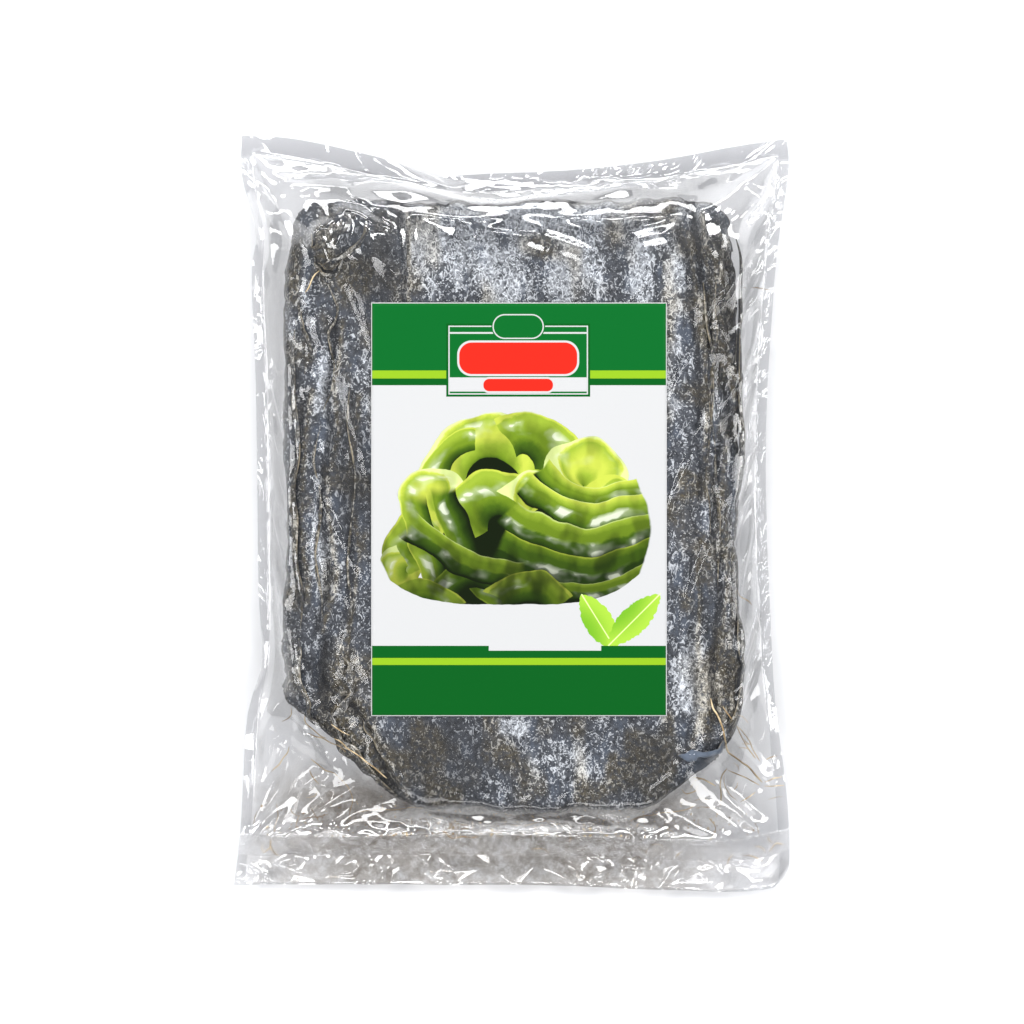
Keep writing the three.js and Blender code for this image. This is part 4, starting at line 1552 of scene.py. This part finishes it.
def kelp_heap(paper, place):
    """The printed picture: overlapping wet fronds in a low heap, trimmed to a flat base."""
    wobble = place.node(
        "ShaderNodeTexNoise", {}, {"Vector": place, "Scale": 0.034, "Detail": 1.0}, out="Color"
    )
    fine = place.node("ShaderNodeTexNoise", {}, {"Vector": place, "Scale": 0.2, "Detail": 2.0}, out="Color")
    bent = place + (wobble - 0.5) * (14.0, 14.0, 0.0) + (fine - 0.5) * (1.0, 1.0, 0.0)
    mound = ((bent - (-3.0, -12.0, 0.0)) * (1 / 68, 1 / 62, 0.0)).length()
    sheen = (bent * (1.0, 1.3, 0.0)).noise(15.0, 2.0, 0.5)
    wet = sheen.step(0.46, 0.66) * 0.34 + sheen.step(0.585, 0.615) * 0.42
    picture = INK["black"]
    covered = 1 - mound.step(0.74, 0.75)
    for centre, radius, width, facing, spread, inks in HEAP:
        picture, covered = frond(picture, covered, bent, wet, centre, radius, width, facing, spread, inks)
    x = place.axis(0)
    y = place.axis(1)
    folds = (place * (1.0, 0.6, 0.0)).noise(13.0, 2.0, 0.5)
    shaded = 0.6 * (1 - (y + 12 * (folds - 0.5)).step(-44, 14)) + 0.3 * (1 - folds.step(0.36, 0.56))
    picture = shaded.mix(picture, INK["black"])
    base = y - 0.9e-6 * (x + 4) ** 4 + 1.5 * place.noise(9.0)
    trimmed = base.step(-47.0, -46.7) * (1 - mound.step(0.985, 1.0)) * covered
    return trimmed.mix(paper, picture)


def leaf(picture, place, root, tip, breadth):
    """One pointed leaf with a pale midrib, as the overlap of two discs."""
    along = np.subtract(tip, root)
    length = float(np.linalg.norm(along))
    across = np.array([-along[1], along[0]]) / length
    bulge = (length**2 / 4 - breadth**2 / 4) / breadth
    radius = bulge + breadth / 2
    middle = np.add(root, tip) / 2
    fine = place.noise(2.2, 1.0) * 2.0 - 0.5
    discs = []
    for side in (1, -1):
        centre = middle + across * side * bulge
        offset = (place - (*centre, 0.0)) * (1.0, 1.0, 0.0)
        discs.append(offset.length())
    edge = discs[0].most(discs[1]) + fine
    vein = abs(discs[0] - discs[1])
    shade = discs[0].step(radius - breadth, radius)
    green = shade.mix((0.17, 0.42, 0.02), (0.36, 0.6, 0.05))
    green = (1 - vein.step(0.3, 0.7)).mix(green, (0.72, 0.92, 0.35))
    return (1 - edge.step(radius + 0.3, radius + 0.6)).mix(picture, green)


def rule_mask(y, rule):
    """1 inside a printed rule that runs across the label between two heights."""
    return y.step(rule[0], rule[0] + INK_EDGE) * (1 - y.step(rule[1], rule[1] + INK_EDGE))


def make_label_finish():
    """Offset print under a gloss coat, with the bare paper showing at the cut edges."""
    material, start = new_finish("label_paper")
    middle = (label_low + label_high) / 2
    place = millimetres(start) - (middle.x, middle.y, middle.z)
    x = place.axis(0)
    y = place.axis(1)
    half_width = (label_high.x - label_low.x) / 2
    half_length = (label_high.y - label_low.y) / 2
    ink = kelp_heap(PAPER, place)
    ink = leaf(ink, place, (49.0, -71.0), (31.0, -42.0), 14.5)
    ink = leaf(ink, place, (44.0, -69.0), (71.0, -42.0), 14.0)
    ink = y.step(TOP_BAND, TOP_BAND + INK_EDGE).mix(ink, DEEP_GREEN)
    ink = y.step(TOP_RULE[1], TOP_RULE[1] + INK_EDGE).mix(ink, GREEN)
    ink = rule_mask(y, TOP_RULE).mix(ink, LIME)
    ink = (1 - y.step(LOW_BAND - INK_EDGE, LOW_BAND)).mix(ink, DEEP_GREEN)
    ink = rule_mask(y, LOW_RULE).mix(ink, LIME)
    ink = box_mask(place, (13.0, LOW_BAND - 0.8), (28.0, 1.6)).mix(ink, PAPER)
    for middle_y, half_size, corner, colour in PANEL:
        ink = box_mask(place, (-0.4, middle_y), half_size, corner).mix(ink, colour)
    cut = (half_width - abs(x)).least(half_length - abs(y))
    ink = cut.step(BARE_EDGE, BARE_EDGE + 0.15).mix(PAPER, ink)
    grain = place.noise(0.6, 2.0, 0.6)
    surface = start.node(
        "ShaderNodeBsdfPrincipled",
        {},
        {
            "Base Color": ink,
            "Roughness": 0.34 + 0.12 * grain,
            "Specular IOR Level": 0.08,
            "Normal": start.node(
                "ShaderNodeBump", {}, {"Strength": 0.08, "Distance": 0.0003, "Height": grain}
            ),
        },
    )
    start.node("ShaderNodeOutputMaterial", {}, {"Surface": surface})
    return material


label = make_label()
label.data.materials.append(make_label_finish())
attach(label, "root")
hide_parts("label")

# ---------------------------------------------------------------------------------------------------------
# Studio. A plain pale floor in pale surroundings, under soft lights on the left, on the right and behind
# the pack and two small ones before it. Four long low lights stand round it like the walls of a tent.
# ---------------------------------------------------------------------------------------------------------
FLOOR_REACH = 4000
floor_corners = [(x, y, 0) for x, y in ((-1, -1), (1, -1), (1, 1), (-1, 1))]
floor = add_mesh("floor", np.multiply(floor_corners, FLOOR_REACH), [(0, 1, 2, 3)])
floor_finish, start = new_finish("floor")
matt = start.node(
    "ShaderNodeBsdfPrincipled", {}, {"Base Color": (0.95, 0.95, 0.95, 1), "Roughness": 0.9}
)
start.node("ShaderNodeOutputMaterial", {}, {"Surface": matt})
floor.data.materials.append(floor_finish)
floor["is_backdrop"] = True


def add_softbox(name, place, size, power):
    """A soft rectangular light that faces the pack."""
    data = bpy.data.lights.new(name, "AREA")
    data.shape = "RECTANGLE"
    data.size, data.size_y = size
    data.energy = power
    light = bpy.data.objects.new(name, data)
    light.location = place
    light.rotation_euler = (Vector((0, 0, 0.02)) - Vector(place)).to_track_quat("-Z", "Y").to_euler()
    bpy.context.scene.collection.objects.link(light)


# Name, place and size across and up in metres, and power in watts.
add_softbox("left_light", (-0.85, 0.3, 1.5), (0.38, 0.55), 6.7)
add_softbox("right_light", (0.85, 0.35, 1.5), (0.38, 0.55), 6.7)
add_softbox("far_light", (0.0, 1.1, 1.75), (0.9, 0.36), 8)
add_softbox("near_left_light", (-0.45, -0.75, 1.8), (0.34, 0.34), 3.8)
add_softbox("near_right_light", (0.5, -0.75, 1.8), (0.34, 0.34), 3.8)
add_softbox("far_wall", (0.0, 1.7, 0.55), (1.6, 0.6), 18)
add_softbox("near_wall", (0.0, -1.7, 0.55), (1.3, 0.4), 10)
add_softbox("left_wall", (-1.7, 0.0, 0.5), (0.3, 1.4), 8.5)
add_softbox("right_wall", (1.7, 0.0, 0.5), (0.3, 1.4), 8.5)

world = bpy.data.worlds.new("world")
world.use_nodes = True
world.node_tree.nodes["Background"].inputs["Color"].default_value = (0.9, 0.93, 1.0, 1)
world.node_tree.nodes["Background"].inputs["Strength"].default_value = 0.54
bpy.context.scene.world = world
bpy.context.scene.view_settings.view_transform = "Standard"

boxes = {"cad": cad_box, "visual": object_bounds()}
{name: [list(corner) for corner in box] for name, box in boxes.items()}
